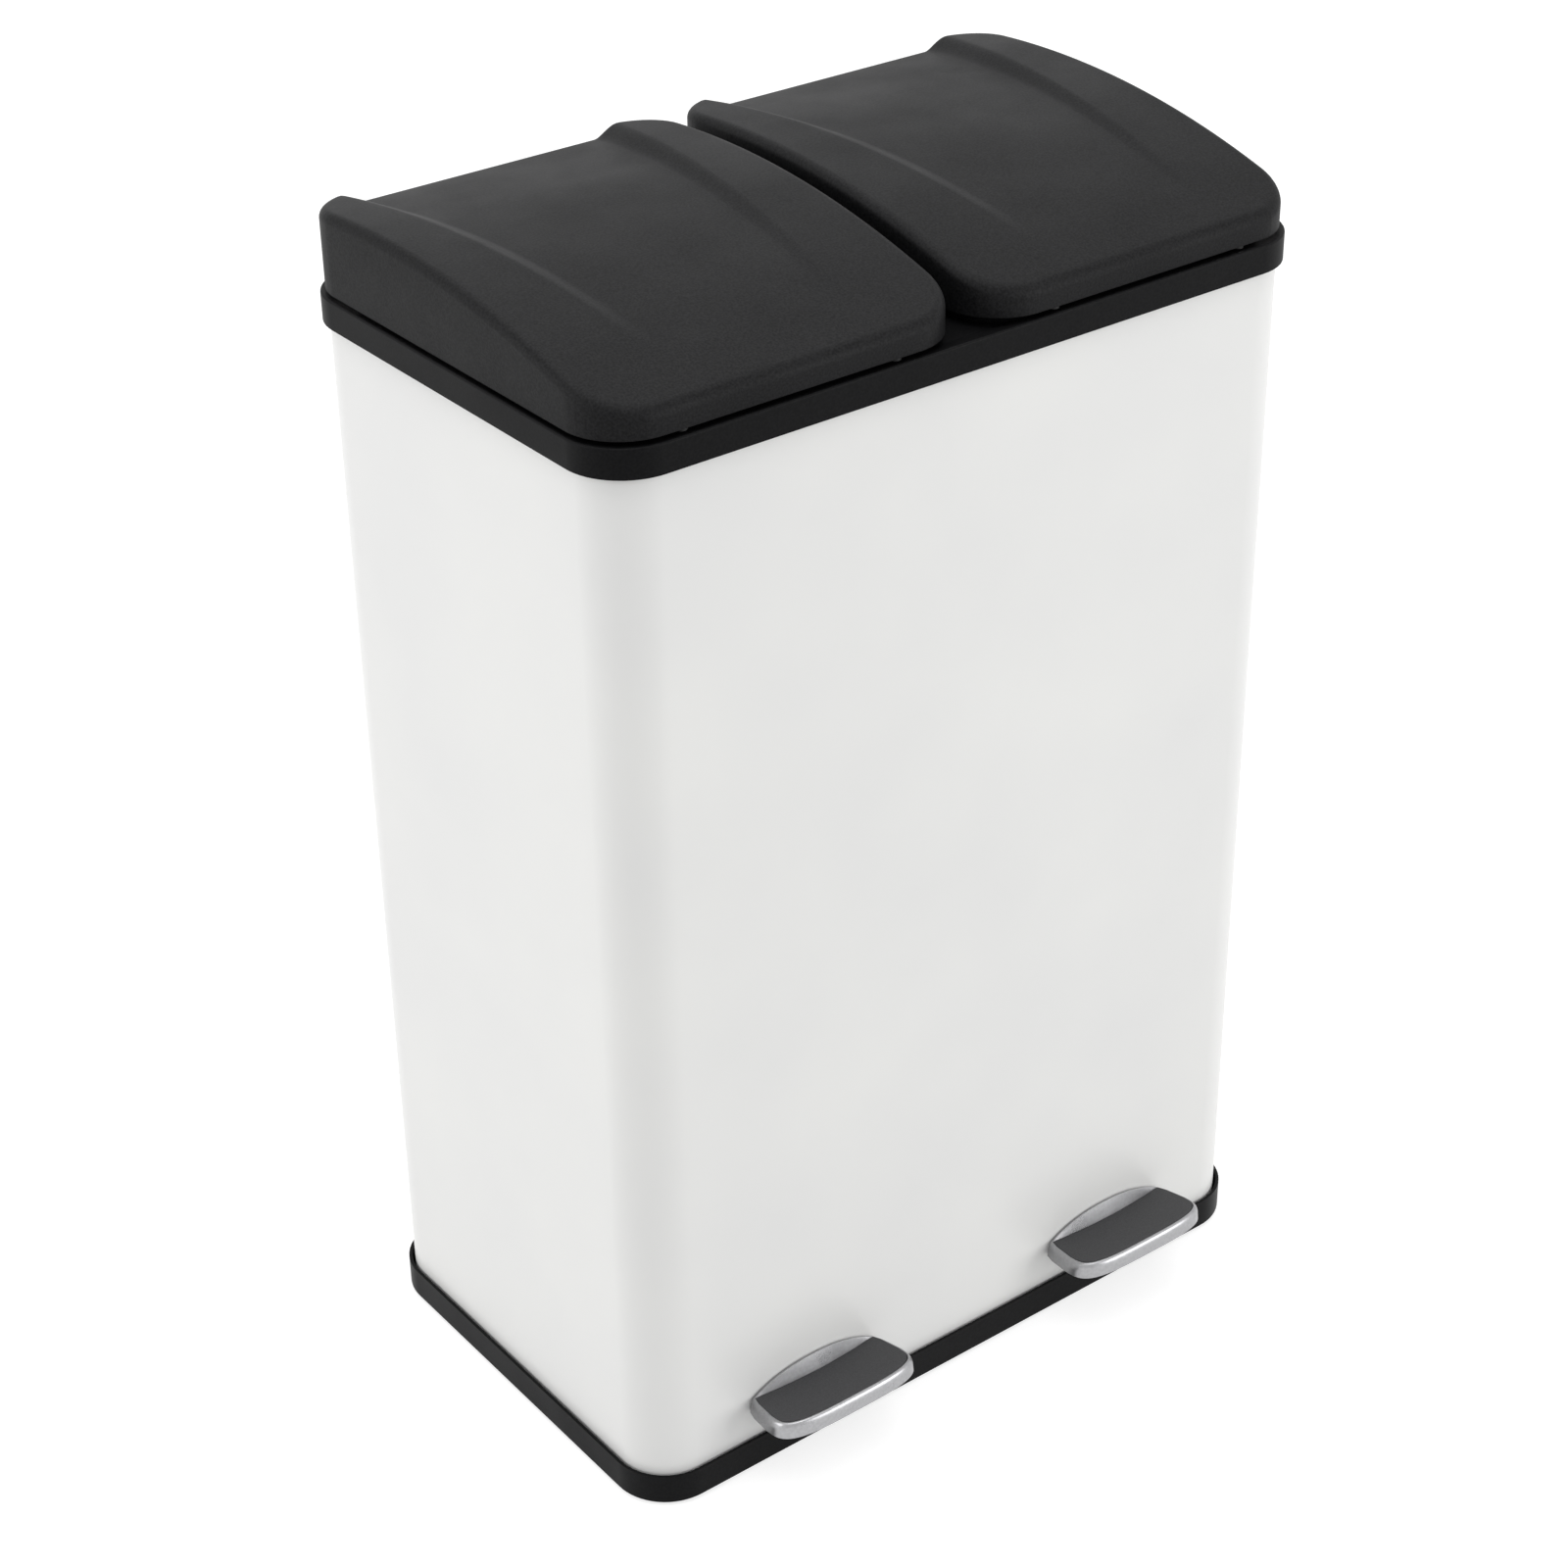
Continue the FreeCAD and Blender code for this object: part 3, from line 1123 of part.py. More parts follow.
def make_bail(side_name, side):
    """Wire handle that lies on the bucket's rim, with a grip on its cross bar."""
    place = f"{side} * bucket_x"
    body = new_body(f"bucket_bail_{side_name}")
    section = new_sketch(body, f"bail_section_{side_name}", "XZ_Plane", "-bucket_y")
    disc(section, "-bail_x", "bail_z", "bail_radius")
    path = new_sketch(body, f"bail_path_{side_name}", "XY_Plane", "bail_z")
    rear = "(bucket_y + bail_length)"
    outline(path, (
        ("-bail_x", "bucket_y"),
        ("-bail_x", f"{rear} - bail_bend", "bail_bend", 1),
        ("-bail_x + bail_bend", rear),
        ("bail_x - bail_bend", rear, "bail_bend", 1),
        ("bail_x", f"{rear} - bail_bend"),
        ("bail_x", "bucket_y"),
    ), closed=False)
    sweep = body.newObject("PartDesign::AdditivePipe", f"bail_wire_{side_name}")
    sweep.Profile = section
    sweep.Spine = (path, [f"Edge{index + 1}" for index in range(5)])
    grow_or_shrink(body, sweep, True)
    for cheek in (-1, 1):
        stub = new_sketch(body, f"bail_stub_{side_name}_{cheek + 1}", "YZ_Plane",
                          f"{cheek} * (bail_x + bail_radius)")
        disc(stub, "bucket_y", "bail_z", "bail_radius")
        reach = "2 * bail_radius + side_gap + bail_ear + bail_stub"
        pad(body, stub, reach, flipped=cheek > 0)
    finish(body, f"bucket_bail_{side_name}", place)

    grip = new_body(f"bail_grip_{side_name}")
    ring = new_sketch(grip, f"grip_ring_{side_name}", "YZ_Plane")
    disc(ring, rear, "bail_z", "grip_radius")
    pad(grip, ring, "grip_length", symmetric=True)
    fillet(grip, "grip_round", lambda edge: isinstance(edge.Curve, Part.Circle))
    bore = new_sketch(grip, f"grip_bore_{side_name}", "YZ_Plane")
    disc(bore, rear, "bail_z", "bail_radius")
    pocket(grip, bore, "2 * grip_length", symmetric=True)
    finish(grip, f"bail_grip_{side_name}", place)


# ---------------------------------------------------------------- build everything


def build():
    make_body_shell()
    make_base_tray()
    make_base_fittings()
    make_top_rim()
    for side_name, side in SIDES:
        make_lid(side_name, side)
        make_cam(side_name, side)
        make_lid_fittings(side_name, side)
        make_push_rod(side_name, side)
        make_pedal(side_name, side)
        make_lever(side_name, side)
        make_bucket(side_name, side)
        make_bail(side_name, side)
    make_guide_screws()
    make_axle_clips()


build()
doc.recompute()
for item in doc.Objects:
    if {"Invalid", "Error"} & set(item.State):
        raise RuntimeError(f"{item.Label} failed: {item.State}")
for item in NODES:
    if item.Shape.isNull() or not item.Shape.isValid():
        raise RuntimeError(f"{item.Label} has no valid shape")
for item in NODES:
    item.Shape.exportStep(f"parts/{item.Label}.step")
    span = item.Shape.optimalBoundingBox()
    print(f"{item.Label:20s} {len(item.Shape.Solids):2d} {item.Shape.Volume / 1000:9.2f} cm3 "
          f"x {span.XMin:7.1f} {span.XMax:7.1f} y {span.YMin:7.1f} {span.YMax:7.1f} "
          f"z {span.ZMin:6.1f} {span.ZMax:6.1f}")
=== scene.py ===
"""Looks of a double recycling bin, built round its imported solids.

Every size below is in millimetres, in the row frame: +Z up, front towards -Y, the floor at
z = 0.  A mesh is scaled to metres when it is finished.
"""
from __future__ import annotations

import json
import logging
import math
from dataclasses import dataclass, replace
from enum import Enum
from typing import Sequence

import bmesh
import bpy
from bmesh.types import BMEdge, BMesh, BMFace, BMVert
from bpy.types import Material, Node, NodeSocket, NodeTree
from mathutils import Matrix, Vector

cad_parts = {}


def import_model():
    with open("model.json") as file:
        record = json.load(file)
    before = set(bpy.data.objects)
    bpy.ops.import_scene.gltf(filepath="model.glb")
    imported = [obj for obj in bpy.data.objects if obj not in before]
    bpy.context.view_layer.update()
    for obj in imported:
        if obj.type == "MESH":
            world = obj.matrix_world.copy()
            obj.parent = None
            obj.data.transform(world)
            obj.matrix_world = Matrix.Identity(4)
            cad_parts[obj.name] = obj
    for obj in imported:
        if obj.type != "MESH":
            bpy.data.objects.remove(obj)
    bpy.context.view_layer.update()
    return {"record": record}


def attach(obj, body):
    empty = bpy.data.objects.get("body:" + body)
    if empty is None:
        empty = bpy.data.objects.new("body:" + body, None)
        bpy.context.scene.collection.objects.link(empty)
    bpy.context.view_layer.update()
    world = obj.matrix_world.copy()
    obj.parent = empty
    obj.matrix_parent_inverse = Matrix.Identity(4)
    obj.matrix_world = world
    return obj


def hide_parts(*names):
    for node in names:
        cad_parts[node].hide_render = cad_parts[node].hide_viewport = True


LOG = logging.getLogger("double_recycling_bin")
MM = 0.001
WHITE = (1.0, 1.0, 1.0, 1.0)
Pair = tuple[float, float]
Point = tuple[float, float, float]
Steps = Sequence[Pair]


class Side(Enum):
    """Left or right half of the bin; the value is the sign of x."""

    LEFT = -1
    RIGHT = 1

    @property
    def word(self) -> str:
        """Name of the side, as the nodes spell it."""
        return self.name.lower()


# ---- finishes


def linear(shade: str) -> tuple[float, float, float, float]:
    """Turn an sRGB hex colour into linear values.

    Args:
        shade: Colour such as "#2b2b2d".

    Returns:
        Linear red, green and blue, and an alpha of 1.
    """
    parts = [int(shade[place : place + 2], 16) / 255 for place in (1, 3, 5)]
    red, green, blue = (
        part / 12.92 if part <= 0.04045 else ((part + 0.055) / 1.055) ** 2.4 for part in parts
    )
    return red, green, blue, 1.0


def add(
    tree: NodeTree,
    kind: str,
    settings: dict[str, object] | None = None,
    values: dict[str, object] | None = None,
    links: dict[str, NodeSocket] | None = None,
) -> Node:
    """Add a node.

    Args:
        tree: Node tree that gets it.
        kind: The node's type name.
        settings: Properties of the node itself.
        values: Input sockets and the values they hold.
        links: Input sockets and the outputs that feed them.

    Returns:
        The new node.
    """
    node = tree.nodes.new(kind)
    for name, value in (settings or {}).items():
        setattr(node, name, value)
    for name, value in (values or {}).items():
        node.inputs[name].default_value = value
    for name, source in (links or {}).items():
        tree.links.new(source, node.inputs[name])
    return node


@dataclass(frozen=True)
class Finish:
    """A finish: its name, the record's slot for it and the two shades the eye reads."""

    name: str
    slot: str
    shade: str
    shade_light: str

    def build(self) -> Material:
        """Make the material."""
        material = bpy.data.materials.new(self.name)
        material.use_nodes = True
        tree = material.node_tree
        hold(tree, {"Base Color": linear(self.shade)})
        self.dress(tree)
        return material

    def dress(self, tree: NodeTree) -> None:
        """Set what is special to this finish."""

    def mottle(self, tree: NodeTree, noise: Node) -> None:
        """Let a noise drift the colour between the two shades."""
        blend = add(
            tree,
            "ShaderNodeMix",
            settings={"data_type": "RGBA"},
            values={6: linear(self.shade), 7: linear(self.shade_light)},
        )
        vary(tree, noise, (0.0, 1.0), blend.inputs["Factor"])
        tree.links.new(blend.outputs[2], main_input(tree, "Base Color"))


def main_input(tree: NodeTree, name: str) -> NodeSocket:
    """Find an input of the main shader."""
    return tree.nodes["Principled BSDF"].inputs[name]


def hold(tree: NodeTree, values: dict[str, object]) -> None:
    """Set some of the main shader's inputs to fixed values."""
    for name, value in values.items():
        main_input(tree, name).default_value = value


def object_noise(
    tree: NodeTree, size_mm: float, detail: float = 2.0, roughness: float = 0.5
) -> Node:
    """Noise on object coordinates whose blotches are about size_mm across.

    Args:
        tree: Node tree that gets it.
        size_mm: Distance between neighbouring blotches.
        detail: Number of finer layers.
        roughness: Weight of the finer layers.

    Returns:
        The noise node.
    """
    place = add(tree, "ShaderNodeTexCoord")
    return add(
        tree,
        "ShaderNodeTexNoise",
        values={"Scale": 1000 / size_mm, "Detail": detail, "Roughness": roughness},
        links={"Vector": place.outputs["Object"]},
    )


def vary(tree: NodeTree, noise: Node, limits: Pair, target: NodeSocket) -> None:
    """Let a noise, which mostly stays between 0.3 and 0.7, move an input between limits."""
    reach = add(
        tree,
        "ShaderNodeMapRange",
        values={"From Min": 0.3, "From Max": 0.7, "To Min": limits[0], "To Max": limits[1]},
        links={"Value": noise.outputs["Fac"]},
    )
    tree.links.new(reach.outputs["Result"], target)


def emboss(tree: NodeTree, noise: Node, strength: float, depth_mm: float) -> None:
    """Raise a noise as fine relief on the main shader."""
    bump = add(
        tree,
        "ShaderNodeBump",
        values={"Strength": strength, "Distance": depth_mm * MM},
        links={"Height": noise.outputs["Fac"]},
    )
    tree.links.new(bump.outputs["Normal"], main_input(tree, "Normal"))


def seen_directly(tree: NodeTree) -> NodeSocket:
    """1 for rays of the camera, of a mirror image or through glass, and 0 for rays of light."""
    path = add(tree, "ShaderNodeLightPath")
    total = path.outputs["Is Camera Ray"]
    for kind in ("Is Glossy Ray", "Is Transmission Ray"):
        both = add(
            tree,
            "ShaderNodeMath",
            settings={"operation": "MAXIMUM"},
            links={0: total, 1: path.outputs[kind]},
        )
        total = both.outputs[0]
    return total


@dataclass(frozen=True)
class MouldedPolypropylene(Finish):
    """Injection-moulded polypropylene from a spark-eroded tool.

    The tool leaves an even pebble grain about 0.3 mm wide, which greys the black and spreads
    every highlight.  It is drawn about four times as coarse, so that it still shows.
    """

    grain_mm: float
    grain_depth_mm: float
    roughness: Pair
    sheen: float = 0.1
    relief: float = 0.6
    drift_mm: float = 45.0

    def dress(self, tree: NodeTree) -> None:
        """Give it pebble grain in height and tone, and a slow drift of the gloss."""
        hold(tree, {"IOR": 1.49, "Specular IOR Level": self.sheen})
        grain = object_noise(tree, self.grain_mm, detail=1.0)
        drift = object_noise(tree, self.drift_mm, detail=3.0)
        self.mottle(tree, grain)
        vary(tree, drift, self.roughness, main_input(tree, "Roughness"))
        emboss(tree, grain, self.relief, self.grain_depth_mm)


@dataclass(frozen=True)
class StovedEnamel(Finish):
    """White enamel sprayed on sheet steel and stoved.

    It flows out almost level, which leaves a faint orange peel about 4 mm from crest to crest
    under a soft gloss.
    """

    peel_mm: float = 4.0
    peel_depth_mm: float = 0.006
    relief: float = 0.35
    drift_mm: float = 120.0
    roughness: Pair = (0.34, 0.4)

    def dress(self, tree: NodeTree) -> None:
        """Give it orange peel, and a colour and gloss that drift a little."""
        hold(tree, {"Specular IOR Level": 0.4, "Coat Weight": 0.2, "Coat Roughness": 0.22})
        peel = object_noise(tree, self.peel_mm, detail=1.5)
        drift = object_noise(tree, self.drift_mm, detail=2.0)
        self.mottle(tree, drift)
        vary(tree, drift, self.roughness, main_input(tree, "Roughness"))
        emboss(tree, peel, self.relief, self.peel_depth_mm)


@dataclass(frozen=True)
class SatinChrome(Finish):
    """Satin chrome plated on ABS: grey metal whose fine blasting blurs what it mirrors.

    The blasting is finer than 0.1 mm.  It is drawn as coarse as it needs to show.
    """

    roughness: Pair = (0.26, 0.34)
    blasting_mm: float = 1.6
    patch_mm: float = 18.0

    def dress(self, tree: NodeTree) -> None:
        """Make it a blurred mirror with slightly uneven blasting."""
        hold(tree, {"Metallic": 1.0})
        blasting = object_noise(tree, self.blasting_mm, detail=1.0)
        patches = object_noise(tree, self.patch_mm, detail=2.0)
        vary(tree, patches, self.roughness, main_input(tree, "Roughness"))
        self.mottle(tree, blasting)


@dataclass(frozen=True)
class BrightZinc(Finish):
    """Cold-drawn steel with bright zinc, whose crystals leave a faint cloudiness."""

    roughness: Pair = (0.27, 0.42)
    cloud_mm: float = 6.0

    def dress(self, tree: NodeTree) -> None:
        """Lay cloudy zinc over the steel."""
        hold(tree, {"Metallic": 1.0})
        cloud = object_noise(tree, self.cloud_mm, detail=4.0, roughness=0.6)
        self.mottle(tree, cloud)
        vary(tree, cloud, self.roughness, main_input(tree, "Roughness"))


@dataclass(frozen=True)
class MouldedRubber(Finish):
    """Pressure-moulded rubber: matt, with a fine sandy skin of about 0.7 mm grain."""

    grain_mm: float = 0.7
    grain_depth_mm: float = 0.03
    relief: float = 0.7

    def dress(self, tree: NodeTree) -> None:
        """Give it sandy skin in height and tone."""
        hold(tree, {"Roughness": 0.62, "IOR": 1.52})
        grain = object_noise(tree, self.grain_mm, detail=2.0)
        self.mottle(tree, grain)
        emboss(tree, grain, self.relief, self.grain_depth_mm)


@dataclass(frozen=True)
class Acetal(Finish):
    """Natural acetal: waxy white engineering plastic, a little milky where light enters."""

    flow_mm: float = 9.0
    roughness: Pair = (0.3, 0.38)
    bleed_m: float = 0.002

    def dress(self, tree: NodeTree) -> None:
        """Make it milky, with faint flow marks."""
        hold(tree, {"Subsurface Weight": 0.08, "Subsurface Radius": (self.bleed_m,) * 3})
        hold(tree, {"IOR": 1.48})
        flow = object_noise(tree, self.flow_mm, detail=2.0)
        self.mottle(tree, flow)
        vary(tree, flow, self.roughness, main_input(tree, "Roughness"))


class FinishKind(Enum):
    """Every finish on the bin; a member's value makes the material."""

    LID_GRAIN = MouldedPolypropylene(
        "black_polypropylene_lid", "black_plastic", "#101011", "#1f1f20", 1.1, 0.03, (0.46, 0.55)
    )
    RIM_GRAIN = MouldedPolypropylene(
        "black_polypropylene_rim",
        "black_plastic",
        "#0a0a0b",
        "#131314",
        1.1,
        0.02,
        (0.4, 0.49),
        sheen=0.07,
    )
    BUCKET_GRAIN = MouldedPolypropylene(
        "grey_polypropylene", "grey_plastic", "#4c4c4f", "#57575a", 0.8, 0.012, (0.38, 0.47)
    )
    ENAMEL = StovedEnamel("white_stoved_enamel", "white_enamel", "#ececeb", "#f1f1ef")
    CHROME = SatinChrome("satin_chrome_plate", "satin_chrome", "#9f9fa1", "#a8a8aa")
    ZINC = BrightZinc("bright_zinc_steel", "zinc_steel", "#a3a5a7", "#bfc1c3")
    PAD_RUBBER = MouldedRubber("grey_pad_rubber", "grey_rubber", "#2a2a2c", "#38383a", 0.8)
    FOOT_RUBBER = MouldedRubber("black_rubber", "black_rubber", "#0d0d0e", "#171718")
    ACETAL = Acetal("natural_acetal", "pale_acetal", "#dddbd3", "#e9e7e0")


class Wardrobe:
    """Makes each material once and hands it out."""

    def __init__(self) -> None:
        """Start with no materials made."""
        self._made: dict[FinishKind, Material] = {}

    def take(self, kind: FinishKind) -> Material:
        """Return the material of a finish, and make it the first time."""
        if kind not in self._made:
            self._made[kind] = kind.value.build()
        return self._made[kind]


# ---- mesh work


@dataclass(frozen=True)
class Outline:
    """Rectangle with round corners, seen from above."""

    width: float
    depth: float
    radius: float
    x: float = 0.0
    y: float = 0.0
    corner_steps: int = 12

    def shrunk(self, inset: float) -> Outline:
        """The same outline, moved in by inset on every side."""
        width, depth = self.width - 2 * inset, self.depth - 2 * inset
        return replace(self, width=width, depth=depth, radius=self.radius - inset)

    def nearest(self, x: float, y: float) -> tuple[Vector, Vector]:
        """Find the outline's point nearest to x, y.

        Args:
            x: Place across.
            y: Place front to back.

        Returns:
            The point and the outward direction there, both flat.
        """
        core_x, core_y = self.width / 2 - self.radius, self.depth / 2 - self.radius
        local = Vector((x - self.x, y - self.y))
        heart = Vector((max(-core_x, min(core_x, local.x)), max(-core_y, min(core_y, local.y))))
        out = local - heart
        if abs(local.x) <= core_x and abs(local.y) <= core_y:
            if self.width / 2 - abs(local.x) < self.depth / 2 - abs(local.y):
                heart.x = math.copysign(core_x, local.x)
                out = Vector((math.copysign(1, local.x), 0))
            else:
                heart.y = math.copysign(core_y, local.y)
                out = Vector((0, math.copysign(1, local.y)))
        out.normalize()
        return heart + out * self.radius + Vector((self.x, self.y)), out


def only(geom: Sequence[object], kind: type) -> list:
    """Pick one kind of element out of an operator's mixed result."""
    return [item for item in geom if isinstance(item, kind)]


def cut(
    bm: BMesh,
    spot: Sequence[float],
    normal: Sequence[float],
    geom: list | None = None,
    dist: float = 0.001,
    clear: bool = False,
) -> None:
    """Cut a mesh along a plane.

    Args:
        bm: The mesh.
        spot: A point of the plane.
        normal: The plane's direction.
        geom: What is cut; the whole mesh where it is left out.
        dist: How near a vertex counts as on the plane.
        clear: Whether what lies beyond the plane goes.
    """
    bmesh.ops.bisect_plane(
        bm,
        geom=geom or bm.verts[:] + bm.edges[:] + bm.faces[:],
        dist=dist,
        plane_co=spot,
        plane_no=normal,
        clear_outer=clear,
    )


def weld(bm: BMesh, dist: float = 0.002) -> None:
    """Merge the vertices that lie within dist of each other."""
    bmesh.ops.remove_doubles(bm, verts=bm.verts[:], dist=dist)


def face_out(bm: BMesh) -> None:
    """Turn the faces of every closed shape outwards."""
    bmesh.ops.recalc_face_normals(bm, faces=bm.faces[:])


def plate(bm: BMesh, outline: Outline, z: float, upwards: bool) -> BMFace:
    """Add a flat face with round corners.

    Args:
        bm: Mesh that gets it.
        outline: Its shape.
        z: Its height.
        upwards: Whether it faces up or down.

    Returns:
        The face.
    """
    made = bmesh.ops.create_grid(bm, x_segments=1, y_segments=1, size=0.5)["verts"]
    bmesh.ops.scale(bm, vec=(outline.width, outline.depth, 1), verts=made)
    bmesh.ops.translate(bm, vec=(outline.x, outline.y, z), verts=made)
    rounded = bmesh.ops.bevel(
        bm,
        geom=made,
        offset=outline.radius,
        offset_type="OFFSET",
        segments=outline.corner_steps,
        profile=0.5,
        affect="VERTICES",
        material=-1,
    )
    corner = rounded["verts"][0]
    return turned(bm, max(corner.link_faces, key=lambda item: item.calc_area()), upwards)


def turned(bm: BMesh, face: BMFace, upwards: bool) -> BMFace:
    """Turn a flat face so that it looks up or down, and return it."""
    face.normal_update()
    if (face.normal.z > 0) != upwards:
        bmesh.ops.reverse_faces(bm, faces=[face])
        face.normal_update()
    return face


def run_profile(bm: BMesh, face: BMFace, steps: Steps) -> BMFace:
    """Draw a profile round a face's edge, each step a strip that moves in and out of its plane.

    Args:
        bm: Mesh that holds the face.
        face: Face whose edge is followed.
        steps: Pairs of how far in and how far along the face's normal.

    Returns:
        The face that is left in the middle.
    """
    for inset, rise in steps:
        bmesh.ops.inset_region(
            bm,
            faces=[face],
            thickness=inset,
            depth=rise,
            use_boundary=True,
            use_even_offset=True,
        )
    return face


def quarter_round(radius: float, count: int, falling: bool = False) -> list[Pair]:
    """Steps of a quarter circle.

    Args:
        radius: The circle's radius.
        count: Number of steps.
        falling: Start flat and end upright, in place of upright to flat.

    Returns:
        Pairs of how far in and how far along.
    """
    angles = [math.pi / 2 * step / count for step in range(count + 1)]
    steps = [
        (
            radius * (math.cos(first) - math.cos(last)),
            radius * (math.sin(last) - math.sin(first)),
        )
        for first, last in zip(angles, angles[1:])
    ]
    return [(rise, inset) for inset, rise in reversed(steps)] if falling else steps


def block(bm: BMesh, low: Point, high: Point) -> list[BMVert]:
    """Add a box between two corners and return its vertices."""
    made = bmesh.ops.create_cube(bm, size=1.0)["verts"]
    bmesh.ops.scale(bm, vec=[b - a for a, b in zip(low, high)], verts=made)
    bmesh.ops.translate(bm, vec=[(a + b) / 2 for a, b in zip(low, high)], verts=made)
    return made


def bar(bm: BMesh, radius: float, start: Point, end: Point) -> list[BMVert]:
    """Add a round bar between two points and return its vertices."""
    first, last = Vector(start), Vector(end)
    way = last - first
    turn = way.to_track_quat("Z", "Y").to_matrix().to_4x4()
    return bmesh.ops.create_cone(
        bm,
        cap_ends=True,
        segments=24,
        radius1=radius,
        radius2=radius,
        depth=way.length,
        matrix=Matrix.Translation((first + last) / 2) @ turn,
    )["verts"]


def eared_pair(bm: BMesh, places: Pair, thickness: float, head: Point, foot: Pair) -> None:
    """Add two upright plates, each with a round head over a wider foot.

    Args:
        bm: Mesh that gets them.
        places: Middle of the pair, and how far from it each plate stands.
        thickness: Their thickness.
        head: y, z and radius of the heads.
        foot: Half-length and height of each foot's lower edge.
    """
    y, z, radius = head
    for x in (places[0] - places[1], places[0] + places[1]):
        left, right = x - thickness / 2, x + thickness / 2
        made = bar(bm, radius, (left, y, z), (right, y, z))
        made += block(bm, (left, y - foot[0], foot[1]), (right, y + foot[0], foot[1] + 0.5))
        inner = only(bmesh.ops.convex_hull(bm, input=made)["geom_interior"], BMVert)
        bmesh.ops.delete(bm, geom=inner, context="VERTS")


def stand(name: str, data: bpy.types.ID) -> bpy.types.Object:
    """Make an object and link it to the scene."""
    made = bpy.data.objects.new(name, data)
    bpy.context.scene.collection.objects.link(made)
    return made


@dataclass
class Maker:
    """Shared ways of finishing a piece and reporting it."""

    wardrobe: Wardrobe

    def publish(
        self,
        bm: BMesh,
        name: str,
        body: str,
        kind: FinishKind,
        nodes: Sequence[str],
        sharp: float = 32.0,
        outward: bool = True,
    ) -> None:
        """Turn a mesh into a finished piece that rides on a body.

        Args:
            bm: The mesh, in millimetres; it is freed.
            name: The piece's name.
            body: Body that carries it.
            kind: Its finish.
            nodes: CAD nodes that it stands for.
            sharp: Angle in degrees from which an edge stays sharp.
            outward: Whether its faces still have to be turned outwards.
        """
        weld(bm)
        if outward:
            face_out(bm)
        bmesh.ops.scale(bm, vec=(MM, MM, MM), verts=bm.verts[:])
        for face in bm.faces:
            face.smooth = True
        mesh = bpy.data.meshes.new(name)
        bm.to_mesh(mesh)
        bm.free()
        mesh.set_sharp_from_angle(angle=math.radians(sharp))
        piece = stand(name, mesh)
        mesh.materials.append(self.wardrobe.take(kind))
        even = piece.modifiers.new("even_normals", "WEIGHTED_NORMAL")
        even.keep_sharp = True
        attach(piece, body)
        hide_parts(*nodes)
        LOG.info("%s rides on %s, %d faces", name, body, len(mesh.polygons))

    def smooth_copy(self, node: str, name: str, body: str, kind: FinishKind) -> None:
        """Stand a merged, smooth-shaded copy in for a CAD node whose shape is right."""
        bm = bmesh.new()
        bm.from_mesh(bpy.data.objects[node].data)
        bmesh.ops.scale(bm, vec=(1 / MM, 1 / MM, 1 / MM), verts=bm.verts[:])
        weld(bm)
        bmesh.ops.dissolve_limit(
            bm, angle_limit=math.radians(0.5), verts=bm.verts[:], edges=bm.edges[:]
        )
        self.publish(bm, name, body, kind, [node], outward=False)


@dataclass
class SideMaker(Maker):
    """Shared ways of the pieces that stand once at the left and once at the right."""

    side: Side = Side.LEFT
    middle_x: float = 104.5

    @property
    def x(self) -> float:
        """Middle of the piece."""
        return self.side.value * self.middle_x

    def publish_side(
        self,
        bm: BMesh,
        stem: str,
        what: str,
        node: str,
        kind: FinishKind,
        sharp: float = 32.0,
        outward: bool = True,
    ) -> None:
        """Publish a mesh as a piece of this side.

        Args:
            bm: The mesh, in millimetres; it is freed.
            stem: What its body is called without the side.
            what: Last word of its name.
            node: What its CAD node is called without the side.
            kind: Its finish.
            sharp: Angle in degrees from which an edge stays sharp.
            outward: Whether its faces still have to be turned outwards.
        """
        word = self.side.word
        name, body = f"{stem}_{word}_{what}", f"{word}_{stem}"
        self.publish(bm, name, body, kind, [f"{node}_{word}"], sharp, outward)


# ---- the bin


